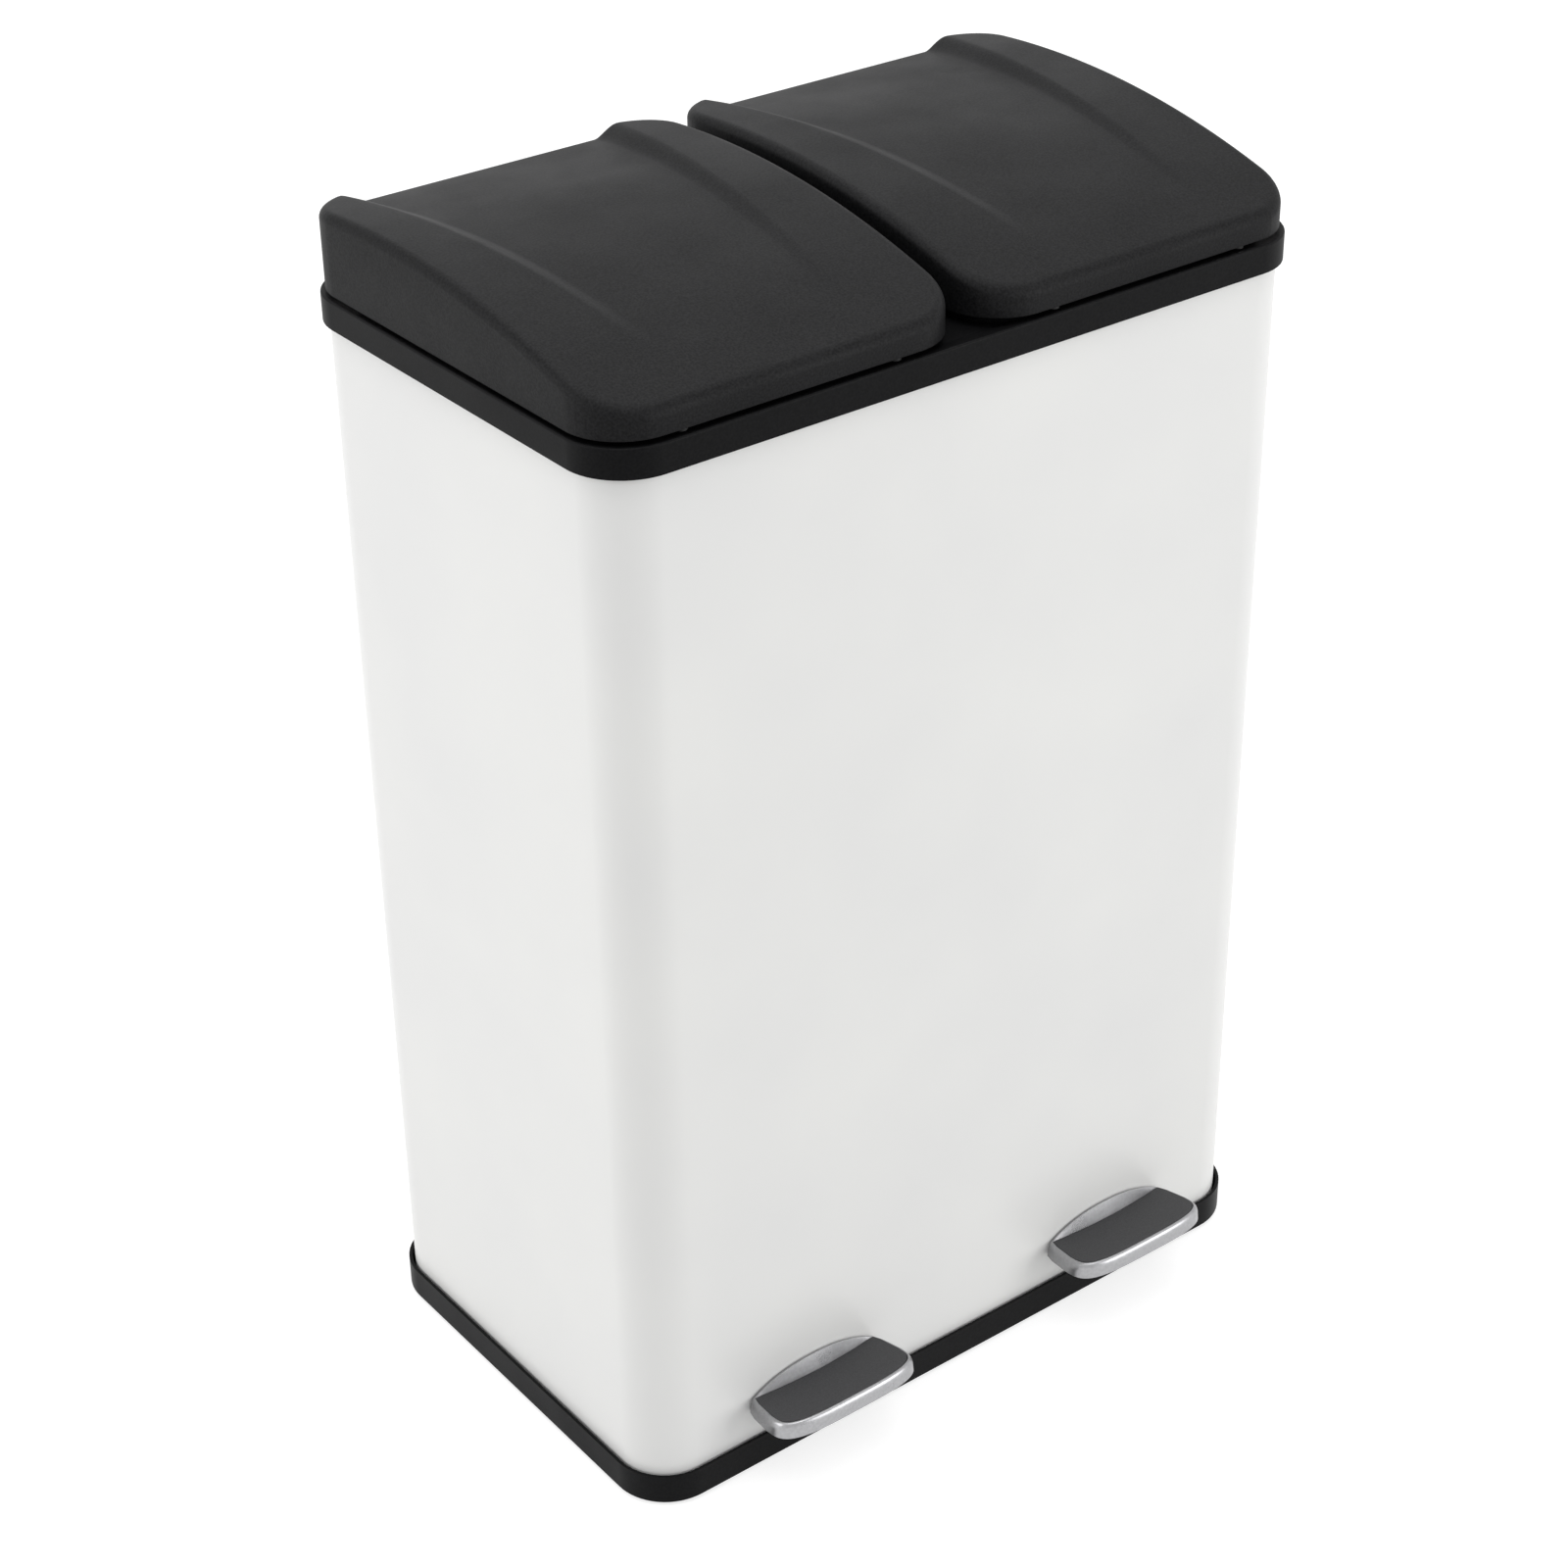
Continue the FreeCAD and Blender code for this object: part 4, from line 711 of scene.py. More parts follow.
@dataclass
class Casing(Maker):
    """Sleeve, rim and base: everything that stands still and shows."""

    rim: Outline = Outline(425, 262, 31.5, 0, 18.25, 16)
    rim_top: float = 611.5
    rim_height: float = 15.0
    rim_deck: float = 6.0
    skirt: float = 2.5
    edge_round: float = 1.2
    body_inset: float = 3.5
    body_wall: float = 0.8
    body_bottom: float = 4.5
    flange: float = 8.0
    plug_gap: float = 0.3
    plug_depth: float = 14.0
    slot_half_width: float = 12.5
    slot_low: float = 25.9
    slot_high: float = 46.1
    pedal_x: float = 104.5
    base_bottom: float = 2.0
    base_height: float = 18.0
    base_wall: float = 2.0
    base_chamfer: float = 0.4
    base_round: float = 1.0
    bucket: Outline = Outline(190, 205, 24, 0, 2.75)
    bucket_x: float = 104.5
    bucket_gap: float = 0.8
    bucket_lip: float = 5.0
    seat_depth: float = 3.3
    lid_x: float = 107.9
    ear_x: float = 64.9
    ear_thickness: float = 4.0
    hinge_y: float = 140.25
    hinge_z: float = 624.0
    ear_radius: float = 4.5
    ear_foot: float = 7.0
    axle_y: float = -31.75
    axle_z: float = 30.0
    bracket_x: float = 13.0
    bracket_radius: float = 7.0
    bracket_thickness: float = 4.0

    def build(self) -> None:
        """Make the three pieces."""
        self.sleeve()
        self.top_rim()
        self.base_tray()

    def sleeve(self) -> None:
        """White steel sleeve with two lever slots and a turned-in bottom flange."""
        bm = bmesh.new()
        outer = self.rim.shrunk(self.body_inset)
        top = self.rim_top - self.rim_deck
        height = top - self.body_bottom
        flange = run_profile(bm, plate(bm, outer, top, False), [(0, height), (self.flange, 0)])
        bmesh.ops.delete(bm, geom=[flange], context="FACES_ONLY")
        front = outer.y - outer.depth / 2
        cuts = [((0, 0, self.slot_low), (0, 0, 1)), ((0, 0, self.slot_high), (0, 0, 1))]
        for side in Side:
            for edge in (-self.slot_half_width, self.slot_half_width):
                cuts.append(((side.value * self.pedal_x + edge, 0, 0), (1, 0, 0)))
        for spot, normal in cuts:
            cut(bm, spot, normal)
        gone = []
        for face in bm.faces:
            spot = face.calc_center_median()
            if (
                abs(spot.y - front) < 0.1
                and self.slot_low < spot.z < self.slot_high
                and abs(abs(spot.x) - self.pedal_x) < self.slot_half_width
            ):
                gone.append(face)
        bmesh.ops.delete(bm, geom=gone, context="FACES")
        for face in bm.faces:
            face.normal_update()
        bmesh.ops.solidify(bm, geom=bm.faces[:], thickness=self.body_wall)
        self.publish(bm, "sleeve", "bin", FinishKind.ENAMEL, ["body_shell"], sharp=40)

    def top_rim(self) -> None:
        """Black rim: skirt, deck with two bucket seats, plug and four hinge ears."""
        bm = bmesh.new()
        bottom = self.rim_top - self.rim_height
        under = self.rim_top - self.rim_deck
        upper = plate(bm, self.rim, bottom, True)
        straight = self.rim_height - self.edge_round
        upper = run_profile(bm, upper, [(0, straight)] + quarter_round(self.edge_round, 4))
        lower = plate(bm, self.rim, bottom, False)
        plug = self.body_inset + self.body_wall + self.plug_gap
        steps = [(self.skirt, 0), (0, bottom - under), (plug - self.skirt, 0)]
        steps += [(0, self.plug_depth), (self.skirt, 0), (0, -self.plug_depth)]
        lower = run_profile(bm, lower, steps)
        edges = {"top": list(upper.edges), "under": list(lower.edges)}
        bmesh.ops.delete(bm, geom=[upper, lower], context="FACES_ONLY")
        for side in Side:
            seat = replace(self.bucket.shrunk(-self.bucket_gap), x=side.value * self.bucket_x)
            mouth = plate(bm, seat, self.rim_top, True)
            edges["top"] += list(mouth.edges)
            steps = [(0, -self.seat_depth), (self.bucket_lip, 0)]
            steps += [(0, self.seat_depth - self.rim_deck)]
            mouth = run_profile(bm, mouth, steps)
            edges["under"] += list(mouth.edges)
            bmesh.ops.delete(bm, geom=[mouth], context="FACES_ONLY")
        for loop in edges.values():
            bmesh.ops.triangle_fill(bm, use_beauty=True, use_dissolve=False, edges=loop)
        weld(bm)
        face_out(bm)
        for side in Side:
            eared_pair(
                bm,
                (side.value * self.lid_x, self.ear_x),
                self.ear_thickness,
                (self.hinge_y, self.hinge_z, self.ear_radius),
                (self.ear_foot, self.rim_top - self.rim_deck / 2),
            )
        self.publish(bm, "rim", "bin", FinishKind.RIM_GRAIN, ["top_rim"])

    def base_tray(self) -> None:
        """Black base: outer wall, soft bottom edge, tray floor and four axle brackets."""
        bm = bmesh.new()
        top = self.base_bottom + self.base_height
        lower = plate(bm, self.rim, top, False)
        straight = self.base_height - self.base_round
        run_profile(bm, lower, [(0, straight)] + quarter_round(self.base_round, 5))
        upper = plate(bm, self.rim, top, True)
        soft = self.base_chamfer
        steps = [(self.base_wall - soft, 0), (soft, -soft), (0, self.body_bottom - top + soft)]
        run_profile(bm, upper, steps)
        weld(bm)
        for side in Side:
            eared_pair(
                bm,
                (side.value * self.pedal_x, self.bracket_x),
                self.bracket_thickness,
                (self.axle_y, self.axle_z, self.bracket_radius),
                (2 * self.bracket_radius, self.body_bottom - 1),
            )
        self.publish(bm, "base", "bin", FinishKind.RIM_GRAIN, ["base_tray"])


@dataclass
class Lid(SideMaker):
    """One crowned lid with a recess that fades out towards the front."""

    middle_x: float = 107.9
    width: float = 205.8
    depth: float = 256.6
    middle_y: float = 18.25
    corner: float = 31.0
    bottom: float = 613.5
    wall: float = 2.5
    edge_round: float = 5.0
    crown_radius: float = 550.0
    crown_apex_y: float = 69.25
    crown_height: float = 43.0
    recess_depth: float = 6.3
    recess_front_y: float = -80.0
    rail_rear: float = 31.0
    rail_front: float = 53.0
    flank_soften: float = 4.0
    ear_x: float = 64.9
    ear_thickness: float = 4.0
    side_gap: float = 0.4
    knuckle_thickness: float = 3.0
    knuckle_reach: float = 6.0
    hinge_y: float = 140.25
    notch_top: float = 630.0
    boss_radius: float = 4.0
    boss_x: float = 60.0
    cam_boss: tuple[float, float, float, float] = (12.0, 102.75, 128.25, 636.0)
    columns: tuple[int, int, int] = (12, 10, 9)
    rows: int = 84
    spare: float = 1.0

    @property
    def outline(self) -> Outline:
        """The lid from above."""
        return Outline(self.width, self.depth, self.corner, self.x, self.middle_y, 12)

    def reach(self, y: float) -> float:
        """How far along the recess y is: 0 at its front end, 1 at the lid's back."""
        rear = self.middle_y + self.depth / 2
        return max(0.0, (y - self.recess_front_y) / (rear - self.recess_front_y))

    def rails(self, y: float) -> tuple[float, float]:
        """Half-widths of the recess at y, at the flanks' feet and at their crests."""
        share = min(1.0, self.reach(y))
        rail = self.rail_front + (self.rail_rear - self.rail_front) * share
        foot = self.width / 2 - rail
        return foot - self.flank_soften, foot + self.recess_depth * share + self.flank_soften

    def surface(self, x: float, y: float) -> float:
        """Height of the lid's top at x, y, before its edge falls away.

        Args:
            x: Place across, from the lid's middle.
            y: Place front to back.

        Returns:
            The height.
        """
        crown_z = self.bottom + self.crown_height - self.crown_radius
        crown = crown_z + math.sqrt(self.crown_radius**2 - (y - self.crown_apex_y) ** 2)
        foot, crest = self.rails(y)
        share = max(0.0, min(1.0, (crest - abs(x)) / (crest - foot)))
        return crown - self.recess_depth * self.reach(y) * share * share * (3 - 2 * share)

    def build(self) -> None:
        """Make the lid and its inner ribs and bosses."""
        bm = bmesh.new()
        self.top_sheet(bm)
        self.rounded_edge(bm)
        self.ear_notches(bm)
        face_out(bm)
        if max(bm.faces, key=lambda face: face.calc_center_median().z).normal.z < 0:
            bmesh.ops.reverse_faces(bm, faces=bm.faces[:])
        bmesh.ops.solidify(bm, geom=bm.faces[:], thickness=self.wall)
        face_out(bm)
        self.inner_fittings(bm)
        self.publish_side(bm, "lid", "moulding", "lid", FinishKind.LID_GRAIN, 38, False)

    def top_sheet(self, bm: BMesh) -> None:
        """Lay the top as a grid whose columns follow the recess, and trim its corners."""
        inner = self.outline.shrunk(self.edge_round)
        floor, flank, rail = self.columns
        count = 2 * (floor + flank + rail)
        bmesh.ops.create_grid(bm, x_segments=count, y_segments=self.rows, size=1.0)
        half_width, half_depth = inner.width / 2 + self.spare, inner.depth / 2 + self.spare
        for vert in bm.verts:
            y = self.middle_y + vert.co.y * half_depth
            step = abs(vert.co.x) * count / 2
            foot, crest = self.rails(y)
            if step <= floor:
                x = foot * step / floor
            elif step <= floor + flank:
                x = foot + (crest - foot) * (step - floor) / flank
            else:
                x = crest + (half_width - crest) * (step - floor - flank) / rail
            vert.co = Vector((math.copysign(x, vert.co.x) + self.x, y, 0))
        self.trim(bm, inner)
        for vert in bm.verts:
            if vert.is_boundary:
                spot, _ = inner.nearest(vert.co.x, vert.co.y)
                vert.co = Vector((spot.x, spot.y, 0))
        weld(bm, 0.15)
        for vert in bm.verts:
            vert.co.z = self.surface(vert.co.x - self.x, vert.co.y)

    def trim(self, bm: BMesh, outline: Outline) -> None:
        """Cut a flat grid to an outline with planes that touch it."""
        steps = 10
        core_x = outline.width / 2 - outline.radius
        core_y = outline.depth / 2 - outline.radius
        for quarter in range(4):
            for step in range(steps + 1):
                angle = math.pi / 2 * (quarter + step / steps)
                way = Vector((math.cos(angle), math.sin(angle), 0))
                sign_x = 1 if quarter in (0, 3) else -1
                sign_y = 1 if quarter in (0, 1) else -1
                heart = Vector((outline.x + sign_x * core_x, outline.y + sign_y * core_y, 0))
                cut(bm, heart + way * outline.radius, way, dist=0.01, clear=True)

    def rounded_edge(self, bm: BMesh) -> None:
        """Roll the top's edge over and drop the side wall to the lid's lower edge."""
        inner = self.outline.shrunk(self.edge_round)
        edges = [edge for edge in bm.edges if edge.is_boundary]
        steps = 8
        turns = [math.pi / 2 * (step + 1) / steps for step in range(steps)]
        for turn in turns:
            made = bmesh.ops.extrude_edge_only(bm, edges=edges)["geom"]
            for vert in only(made, BMVert):
                spot, out = inner.nearest(vert.co.x, vert.co.y)
                place = spot + out * (self.edge_round * math.sin(turn))
                z = self.surface(place.x - self.x, place.y)
                drop = self.edge_round * (1 - math.cos(turn))
                vert.co = Vector((place.x, place.y, z - drop))
            edges = only(made, BMEdge)
        for share in (0.5, 1.0):
            made = bmesh.ops.extrude_edge_only(bm, edges=edges)["geom"]
            for vert in only(made, BMVert):
                vert.co.z += (self.bottom - vert.co.z) * share
            edges = only(made, BMEdge)

    def ear_notches(self, bm: BMesh) -> None:
        """Open the back wall where the rim's hinge ears stand."""
        half = self.ear_thickness / 2 + self.side_gap
        back = self.middle_y + self.depth / 2 - 0.5
        planes = [((0, 0, self.notch_top), (0, 0, 1))]
        for cheek in (-1, 1):
            for edge in (-half, half):
                planes.append(((self.x + cheek * self.ear_x + edge, 0, 0), (1, 0, 0)))
        for spot, normal in planes:
            wall = [face for face in bm.faces if face.calc_center_median().y > back]
            edges = {edge for face in wall for edge in face.edges}
            verts = {vert for face in wall for vert in face.verts}
            cut(bm, spot, normal, geom=[*verts, *edges, *wall])
        gone = []
        for face in bm.faces:
            spot = face.calc_center_median()
            inside = abs(abs(spot.x - self.x) - self.ear_x) < half
            if inside and spot.y > back and spot.z < self.notch_top:
                gone.append(face)
        bmesh.ops.delete(bm, geom=gone, context="FACES")

    def inner_fittings(self, bm: BMesh) -> None:
        """Knuckles beside the ears, the cam's boss and the bumpers' bosses.

        Each starts as a short stub, whose top is then raised into the lid's sheet.
        """
        rear = self.middle_y + self.depth / 2 - self.wall / 2
        front = self.middle_y - self.depth / 2
        start = self.ear_x - self.ear_thickness / 2 - self.side_gap - self.knuckle_thickness
        low, stub = self.bottom + 0.01, 8.0
        shapes = []
        for cheek in (-1, 1):
            sides = sorted((cheek * start, cheek * (start + self.knuckle_thickness)))
            corner = (self.x + sides[0], self.hinge_y - self.knuckle_reach, low)
            shapes.append(block(bm, corner, (self.x + sides[1], rear, low + stub)))
            x, y = self.x + cheek * self.boss_x, front + self.boss_radius + 0.05
            shapes.append(bar(bm, self.boss_radius, (x, y, low), (x, y, low + stub)))
        half, low_y, high_y, seat = self.cam_boss
        corner = (self.x - half, low_y, seat)
        shapes.append(block(bm, corner, (self.x + half, high_y, seat + stub)))
        for shape in shapes:
            middle = sum(vert.co.z for vert in shape) / len(shape)
            for vert in shape:
                if vert.co.z > middle:
                    inner = self.outline.shrunk(self.wall)
                    _, out = inner.nearest(vert.co.x, vert.co.y)
                    edge = self.outline.nearest(vert.co.x, vert.co.y)[0]
                    gap = (edge - Vector((vert.co.x, vert.co.y))).dot(out)
                    roll = max(0.0, self.edge_round - max(gap, 0.0))
                    drop = self.edge_round - math.sqrt(max(self.edge_round**2 - roll**2, 0.0))
                    top = self.surface(vert.co.x - self.x, vert.co.y)
                    vert.co.z = top - drop - self.wall / 2


@dataclass
class Pedal(SideMaker):
    """One pedal: satin chrome shell with an arched back, and its rubber pad."""

    width: float = 92.0
    rear_y: float = -110.55
    front_y: float = -149.25
    widest_y: float = -130.0
    fullness: float = 3.6
    rear_reach: float = 60.0
    taper: float = 0.075
    outline_steps: int = 96
    rear_steps: int = 23
    bottom: float = 38.5
    height: float = 9.0
    tilt: float = 0.14
    lean: float = 0.3
    crown_in: float = 2.7
    crown_down: float = 5.5
    wall: float = 2.2
    pad_margin: float = 1.2
    pad_inset: float = 3.1
    pad_recess: float = 1.2
    pad_proud: float = 0.4
    pad_round: float = 0.5
    pad_gap: float = 0.05
    overrun: float = 12.0
    hollow_draft: float = 1.4
    arch_height: float = 9.0
    arch_depth: float = 3.0
    arch_thickness: float = 0.9
    arch_fullness: float = 2.3
    arch_shoulder: float = 6.0
    arch_sink: float = 0.3
    arch_gap: float = 0.1
    arch_columns: int = 36

    def narrowed(self, y: float) -> float:
        """Share of its full width that the pedal keeps at y, behind its widest place."""
        back = max(0.0, (y - self.widest_y) / (self.rear_y - self.widest_y))
        return 1 - self.taper * back**2

    def bowed_plate(
        self, bm: BMesh, inset: float, z: float, rear: float, rear_bow: float = 0.0
    ) -> BMFace:
        """Add the pedal's outline as a flat face that looks up.

        The outline is a full oval, squarer than an ellipse and cut straight at the back.

        Args:
            bm: Mesh that gets it.
            inset: How far its sides and front stand in from the pedal's lower edge.
            z: Its height.
            rear: Where its back edge is.
            rear_bow: How far its back swells forward; 0 keeps it straight.

        Returns:
            The face.
        """
        half = self.width / 2 - inset
        ahead = self.widest_y - self.front_y - inset
        made = bmesh.ops.create_circle(
            bm, cap_ends=True, segments=self.outline_steps, radius=1.0
        )["verts"]
        power = 2 / self.fullness
        for vert in made:
            x = math.copysign(abs(vert.co.x) ** power, vert.co.x) * half
            reach = self.rear_reach if vert.co.y > 0 else -ahead
            y = abs(vert.co.y) ** power * reach + self.widest_y
            vert.co = Vector((x * self.narrowed(y), y, z))
        face = made[0].link_faces[0]
        cut(bm, (0, rear, 0), (0, 1, 0), geom=[face, *face.edges, *face.verts], clear=True)
        face = next(iter({item for vert in made if vert.is_valid for item in vert.link_faces}))
        edge = max(face.edges, key=lambda item: sum(vert.co.y for vert in item.verts))
        bmesh.ops.subdivide_edges(bm, edges=[edge], cuts=self.rear_steps)
        end = half * self.narrowed(rear)
        for vert in face.verts:
            if vert.co.y > rear - 0.01:
                vert.co.y -= rear_bow * max(1 - (vert.co.x / end) ** 2, 0.0)
            vert.co.x += self.x
        return turned(bm, face, True)

    def raise_front(self, bm: BMesh) -> None:
        """Tilt the whole pedal up towards its front."""
        for vert in bm.verts:
            vert.co.z += self.tilt * (self.rear_y - vert.co.y)

    def build(self) -> None:
        """Make the shell and the pad."""
        self.shell()
        self.pad()

    def shell(self) -> None:
        """Chrome shell: leaning sides, soft top edge, pad seat, hollow and arched back."""
        bm = bmesh.new()
        top = self.bottom + self.height
        beyond = self.rear_y + self.overrun
        upper = self.bowed_plate(bm, 0.0, self.bottom, beyond)
        arc = quarter_round(1.0, 8)
        crown = [(self.crown_in * inset, self.crown_down * rise) for inset, rise in arc]
        upper = run_profile(bm, upper, [(self.lean, self.height - self.crown_down)] + crown)
        under = self.bowed_plate(bm, 0.0, self.bottom, beyond)
        weld(bm)
        cut(bm, (0, self.rear_y, 0), (0, 1, 0), clear=True)
        bmesh.ops.holes_fill(bm, edges=[edge for edge in bm.edges if edge.is_boundary], sides=0)
        upper = max(bm.faces, key=lambda face: face.calc_center_median().z)
        under = min(bm.faces, key=lambda face: face.calc_center_median().z)
        seat = self.bowed_plate(
            bm, self.pad_inset, top, self.rear_y - self.pad_margin, self.arch_depth
        )
        hollow = self.bowed_plate(bm, self.wall, self.bottom, self.rear_y - self.wall)
        ceiling = self.height - self.pad_recess - 2 * self.wall
        for outer, inner, steps in (
            (upper, seat, [(0, -self.pad_recess)]),
            (under, hollow, [(self.hollow_draft, ceiling)]),
        ):
            edges = list(outer.edges) + list(inner.edges)
            bmesh.ops.delete(bm, geom=[outer], context="FACES_ONLY")
            run_profile(bm, inner, steps)
            bmesh.ops.triangle_fill(bm, use_beauty=True, use_dissolve=False, edges=edges)
        face_out(bm)
        self.arched_back(bm)
        self.raise_front(bm)
        self.publish_side(bm, "pedal", "shell", "pedal_cap", FinishKind.CHROME, 35)

    def arched_back(self, bm: BMesh) -> None:
        """Upstand behind the pad, highest in the middle, whose face leans back to a thin top."""
        half = (self.width / 2 - self.pad_inset) * self.narrowed(self.rear_y)
        top = self.bottom + self.height
        columns = self.arch_columns
        made = bmesh.ops.create_grid(bm, x_segments=columns, y_segments=1, size=1.0)["verts"]
        faces = list({face for vert in made for face in vert.link_faces})
        for vert in made:
            front = self.pad_margin + self.arch_gap + self.arch_depth * (1 - vert.co.x**2)
            y = self.rear_y - (front if vert.co.y < 0 else 0.0)
            vert.co = Vector((self.x + vert.co.x * half, y, top - self.pad_recess))
        for share in (0.0, 1.0):
            made = bmesh.ops.extrude_face_region(bm, geom=faces)["geom"]
            faces = only(made, BMFace)
            for vert in only(made, BMVert):
                across = abs(vert.co.x - self.x) / half
                rise = share * self.arch_height * (1 - across**self.arch_fullness)
                shoulder = (self.pad_proud + self.arch_sink) * (1 - across**self.arch_shoulder)
                vert.co.z = top + shoulder - self.arch_sink + rise
                if share:
                    vert.co.y = max(vert.co.y, self.rear_y - self.arch_thickness)

    def pad(self) -> None:
        """Rubber pad let into the shell's top."""
        bm = bmesh.new()
        base = self.bottom + self.height - self.pad_recess
        rear = self.rear_y - self.pad_margin - self.pad_gap
        inset = self.pad_inset + self.pad_gap
        rise = self.pad_recess + self.pad_proud - self.pad_round
        upper = self.bowed_plate(bm, inset, base, rear, self.arch_depth)
        run_profile(bm, upper, [(0, rise)] + quarter_round(self.pad_round, 3))
        self.bowed_plate(bm, inset, base, rear, self.arch_depth)
        self.raise_front(bm)
        self.publish_side(bm, "pedal", "rubber", "pedal_pad", FinishKind.PAD_RUBBER)


@dataclass
class Bucket(SideMaker):
    """One lift-out bucket."""

    outline: Outline = Outline(190, 205, 24, 0, 2.75, 14)
    top: float = 611.5
    lip: float = 5.0
    lip_height: float = 3.0
    lip_round: float = 0.6
    floor_round: float = 3.0
    wall: float = 2.0
    draft: float = 6.0
    floor_z: float = 52.0
    ear_x: float = 89.2
    ear_thickness: float = 2.2
    ear_radius: float = 3.6
    pivot_z: float = 613.1

    def build(self) -> None:
        """Make the bucket with its flat rim and the ears of its handle."""
        bm = bmesh.new()
        plan = replace(self.outline, x=self.x)
        depth = self.top - self.floor_z
        edge, soft = self.lip_round, self.floor_round
        inside = [(self.lip + self.wall - edge, 0)]
        inside += [(inset, -rise) for inset, rise in quarter_round(edge, 2, falling=True)]
        inside += [(self.draft, -(depth - self.wall - soft - edge))]
        inside += [(inset, -rise) for inset, rise in quarter_round(soft, 4)]
        run_profile(bm, plate(bm, plan, self.top, True), inside)
        outside = [(0, self.lip_height), (self.lip, 0)]
        outside += [(self.draft, depth - self.lip_height - soft)] + quarter_round(soft, 4)
        run_profile(bm, plate(bm, plan, self.top, False), outside)
        weld(bm)
        eared_pair(
            bm,
            (self.x, self.ear_x),
            self.ear_thickness,
            (self.outline.y, self.pivot_z, self.ear_radius),
            (2 * self.ear_radius, self.top - 1),
        )
        self.publish_side(bm, "bucket", "moulding", "bucket", FinishKind.BUCKET_GRAIN)


@dataclass
class Mechanism(Maker):
    """Everything inside whose CAD shape is right: it gets smooth copies and finishes."""

    def build(self, record: dict) -> None:
        """Dress each inner node by the record's bodies.

        Args:
            record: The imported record.
        """
        looks = {
            FinishKind.ZINC: (
                "hinge_pin lever_axle axle_clips push_rod pedal_lever pedal_screws cam_screws"
                " base_screws guide_screws bucket_bail"
            ),
            FinishKind.RIM_GRAIN: "bail_grip",
            FinishKind.ACETAL: "rod_guide rod_bush rod_foot lid_cam",
            FinishKind.FOOT_RUBBER: "lid_bumpers base_feet",
        }
        kinds = {stem: kind for kind, stems in looks.items() for stem in stems.split()}
        for body, nodes in record["behaviour"]["bodies"].items():
            for node in nodes:
                stem = node.removesuffix("_left").removesuffix("_right")
                if stem in kinds:
                    self.smooth_copy(node, f"{node}_dressed", body, kinds[stem])


# ---- studio


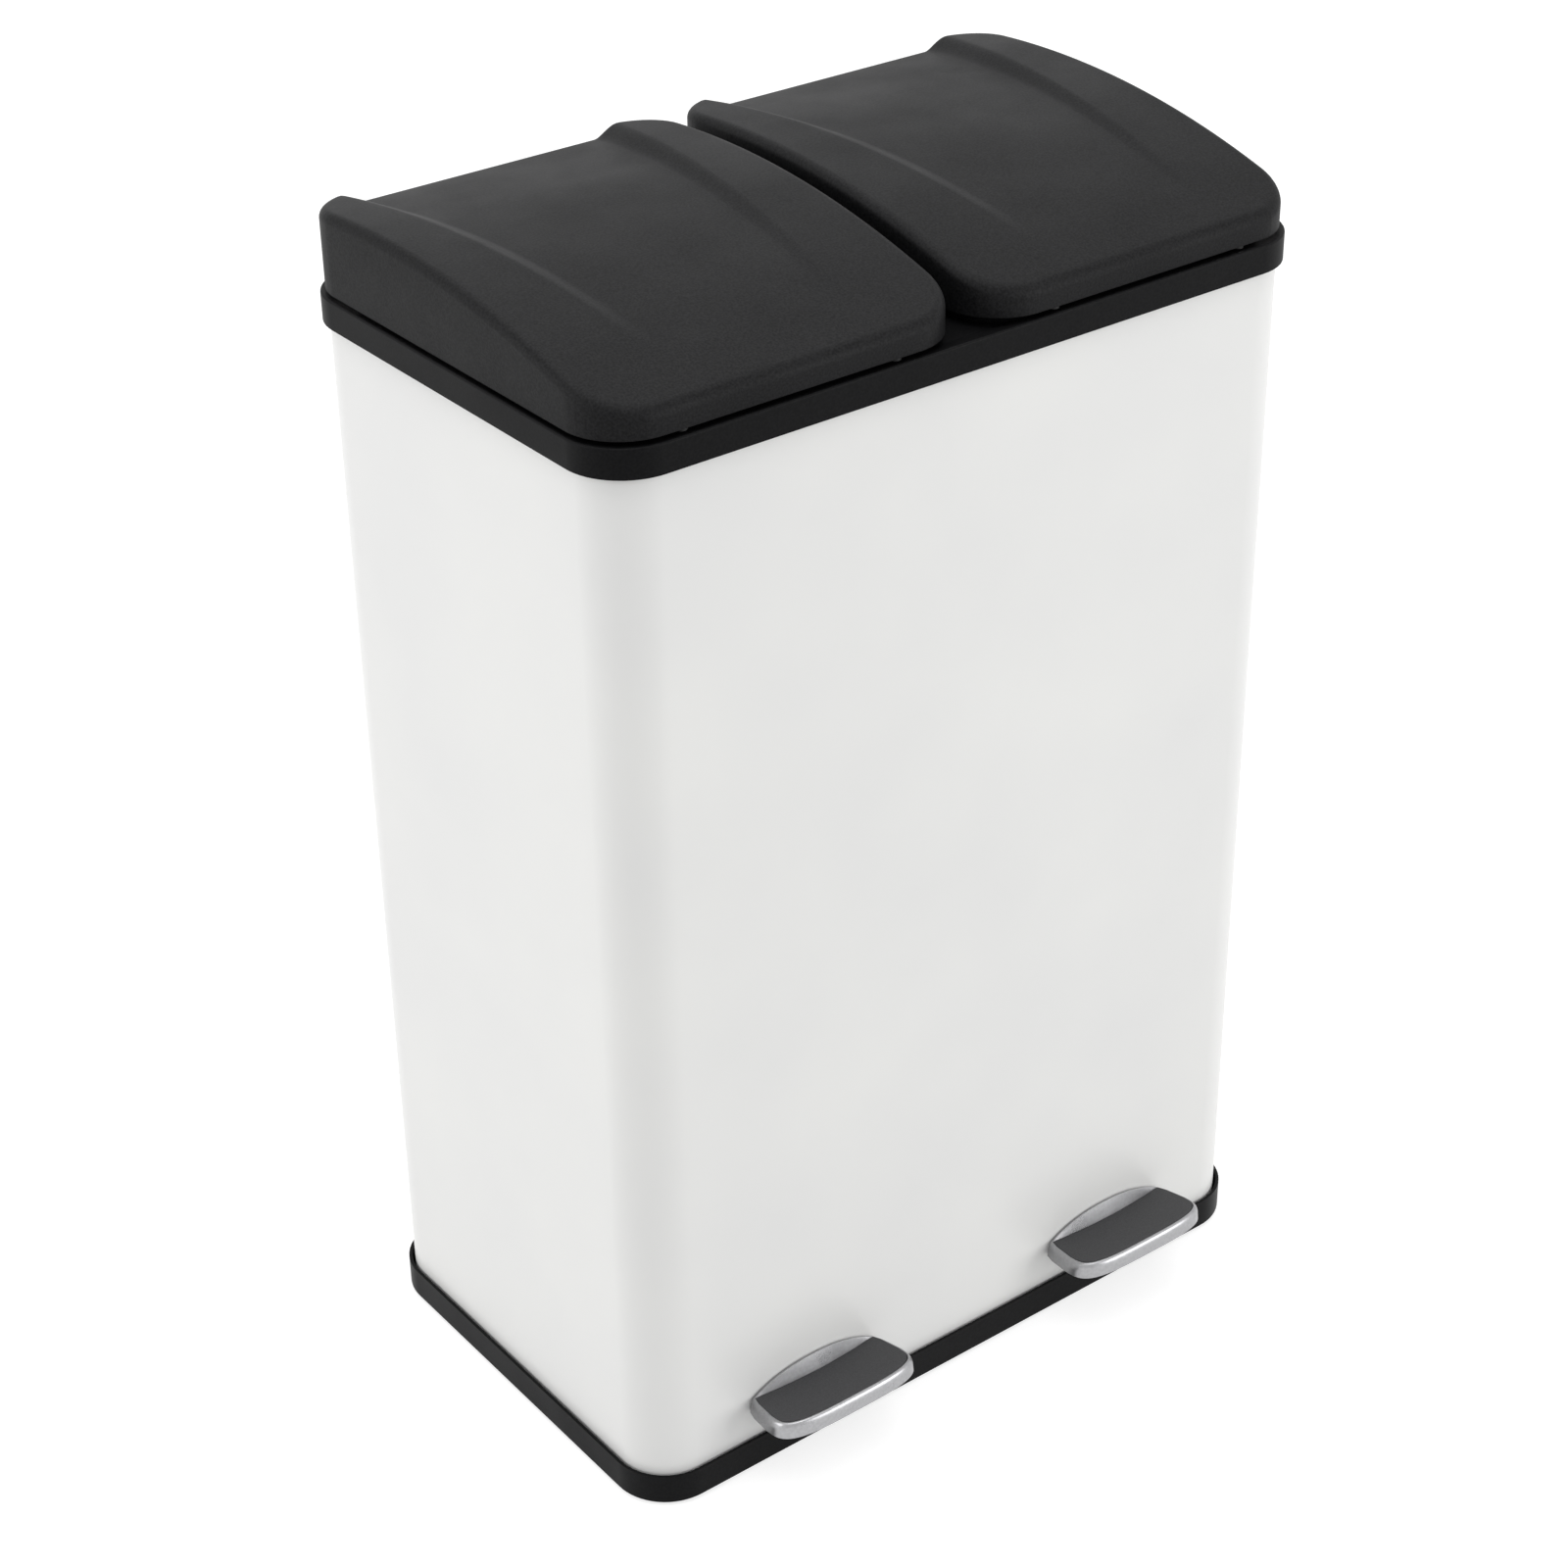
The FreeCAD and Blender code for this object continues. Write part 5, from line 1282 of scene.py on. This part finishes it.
@dataclass
class Studio:
    """Pale floor, white surround, soft lamps and the camera."""

    camera_place: tuple[float, float, float] = (-912.85, -1164.08, 1204.87)
    yaw: float = -0.6463
    pitch: float = 0.5394
    roll: float = -0.0153
    lens_mm: float = 74.55
    sensor_mm: float = 36.0
    floor_shade: str = "#b4b4b4"
    floor_glow: float = 0.72
    surround_light: float = 0.62

    def build(self) -> None:
        """Set the stage."""
        self.floor()
        self.world()
        self.lamps()
        self.camera()
        bpy.context.scene.view_settings.view_transform = "Standard"

    def floor(self) -> None:
        """White floor that keeps the bin's shadow."""
        bm = bmesh.new()
        bmesh.ops.create_grid(bm, x_segments=1, y_segments=1, size=30.0)
        mesh = bpy.data.meshes.new("floor")
        bm.to_mesh(mesh)
        bm.free()
        ground = stand("floor", mesh)
        material = Finish("white_sweep", "stage", self.floor_shade, self.floor_shade).build()
        tree = material.node_tree
        hold(tree, {"Roughness": 0.9, "Specular IOR Level": 0.1, "Emission Color": WHITE})
        glow = add(
            tree,
            "ShaderNodeMath",
            settings={"operation": "MULTIPLY"},
            values={1: self.floor_glow},
            links={0: seen_directly(tree)},
        )
        tree.links.new(glow.outputs[0], main_input(tree, "Emission Strength"))
        mesh.materials.append(material)

    def world(self) -> None:
        """Surround that is white to the eye and in reflections, and grey as a light."""
        world = bpy.data.worlds.new("surround")
        bpy.context.scene.world = world
        world.use_nodes = True
        tree = world.node_tree
        lit = tree.nodes["Background"]
        lit.inputs["Color"].default_value = WHITE
        lit.inputs["Strength"].default_value = self.surround_light
        white = add(tree, "ShaderNodeBackground", values={"Color": WHITE, "Strength": 1.0})
        mix = add(
            tree,
            "ShaderNodeMixShader",
            links={0: seen_directly(tree), 1: lit.outputs[0], 2: white.outputs[0]},
        )
        tree.links.new(mix.outputs[0], tree.nodes["World Output"].inputs["Surface"])

    def lamps(self) -> None:
        """Large soft lamps: above, at the left, in front, and behind for the sheen on the lids."""
        plans = (
            ("overhead", (-0.1, 0.1, 2.8), (0, 0, 0.4), 2.4, 36.0),
            ("left_panel", (-2.7, 1.0, 1.3), (0, 0, 0.3), 2.0, 30.0),
            ("front_panel", (1.6, -2.7, 1.2), (0, 0, 0.3), 2.0, 37.5),
            ("rear_panel", (1.7, 2.3, 1.9), (0, 0, 0.6), 2.6, 4.5),
        )
        for name, place, aim, size, power in plans:
            light = bpy.data.lights.new(name, "AREA")
            light.shape = "SQUARE"
            light.size = size
            light.energy = power
            lamp = stand(name, light)
            lamp.location = place
            way = Vector(aim) - Vector(place)
            lamp.rotation_euler = way.to_track_quat("-Z", "Y").to_euler()

    def camera(self) -> None:
        """Camera at the photograph's angle."""
        lens = bpy.data.cameras.new("camera")
        lens.lens = self.lens_mm
        lens.sensor_width = self.sensor_mm
        lens.sensor_fit = "HORIZONTAL"
        lens.clip_end = 100
        eye = stand("camera", lens)
        forward = Vector(
            (
                -math.sin(self.yaw) * math.cos(self.pitch),
                math.cos(self.yaw) * math.cos(self.pitch),
                -math.sin(self.pitch),
            )
        )
        level = Vector((math.cos(self.yaw), math.sin(self.yaw), 0))
        upward = level.cross(forward)
        right = math.cos(self.roll) * level + math.sin(self.roll) * upward
        above = -math.sin(self.roll) * level + math.cos(self.roll) * upward
        turn = Matrix((right, above, -forward)).transposed()
        eye.matrix_world = Matrix.Translation(Vector(self.camera_place) * MM) @ turn.to_4x4()
        bpy.context.scene.camera = eye


def main() -> None:
    """Load the solids, build each sub-assembly in order and set the stage."""
    logging.basicConfig(level=logging.INFO, format="%(name)s: %(message)s")
    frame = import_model()
    wardrobe = Wardrobe()
    Casing(wardrobe).build()
    for side in Side:
        Lid(wardrobe, side).build()
        Pedal(wardrobe, side).build()
        Bucket(wardrobe, side).build()
    Mechanism(wardrobe).build(frame["record"])
    Studio().build()


if __name__ == "__main__":
    main()
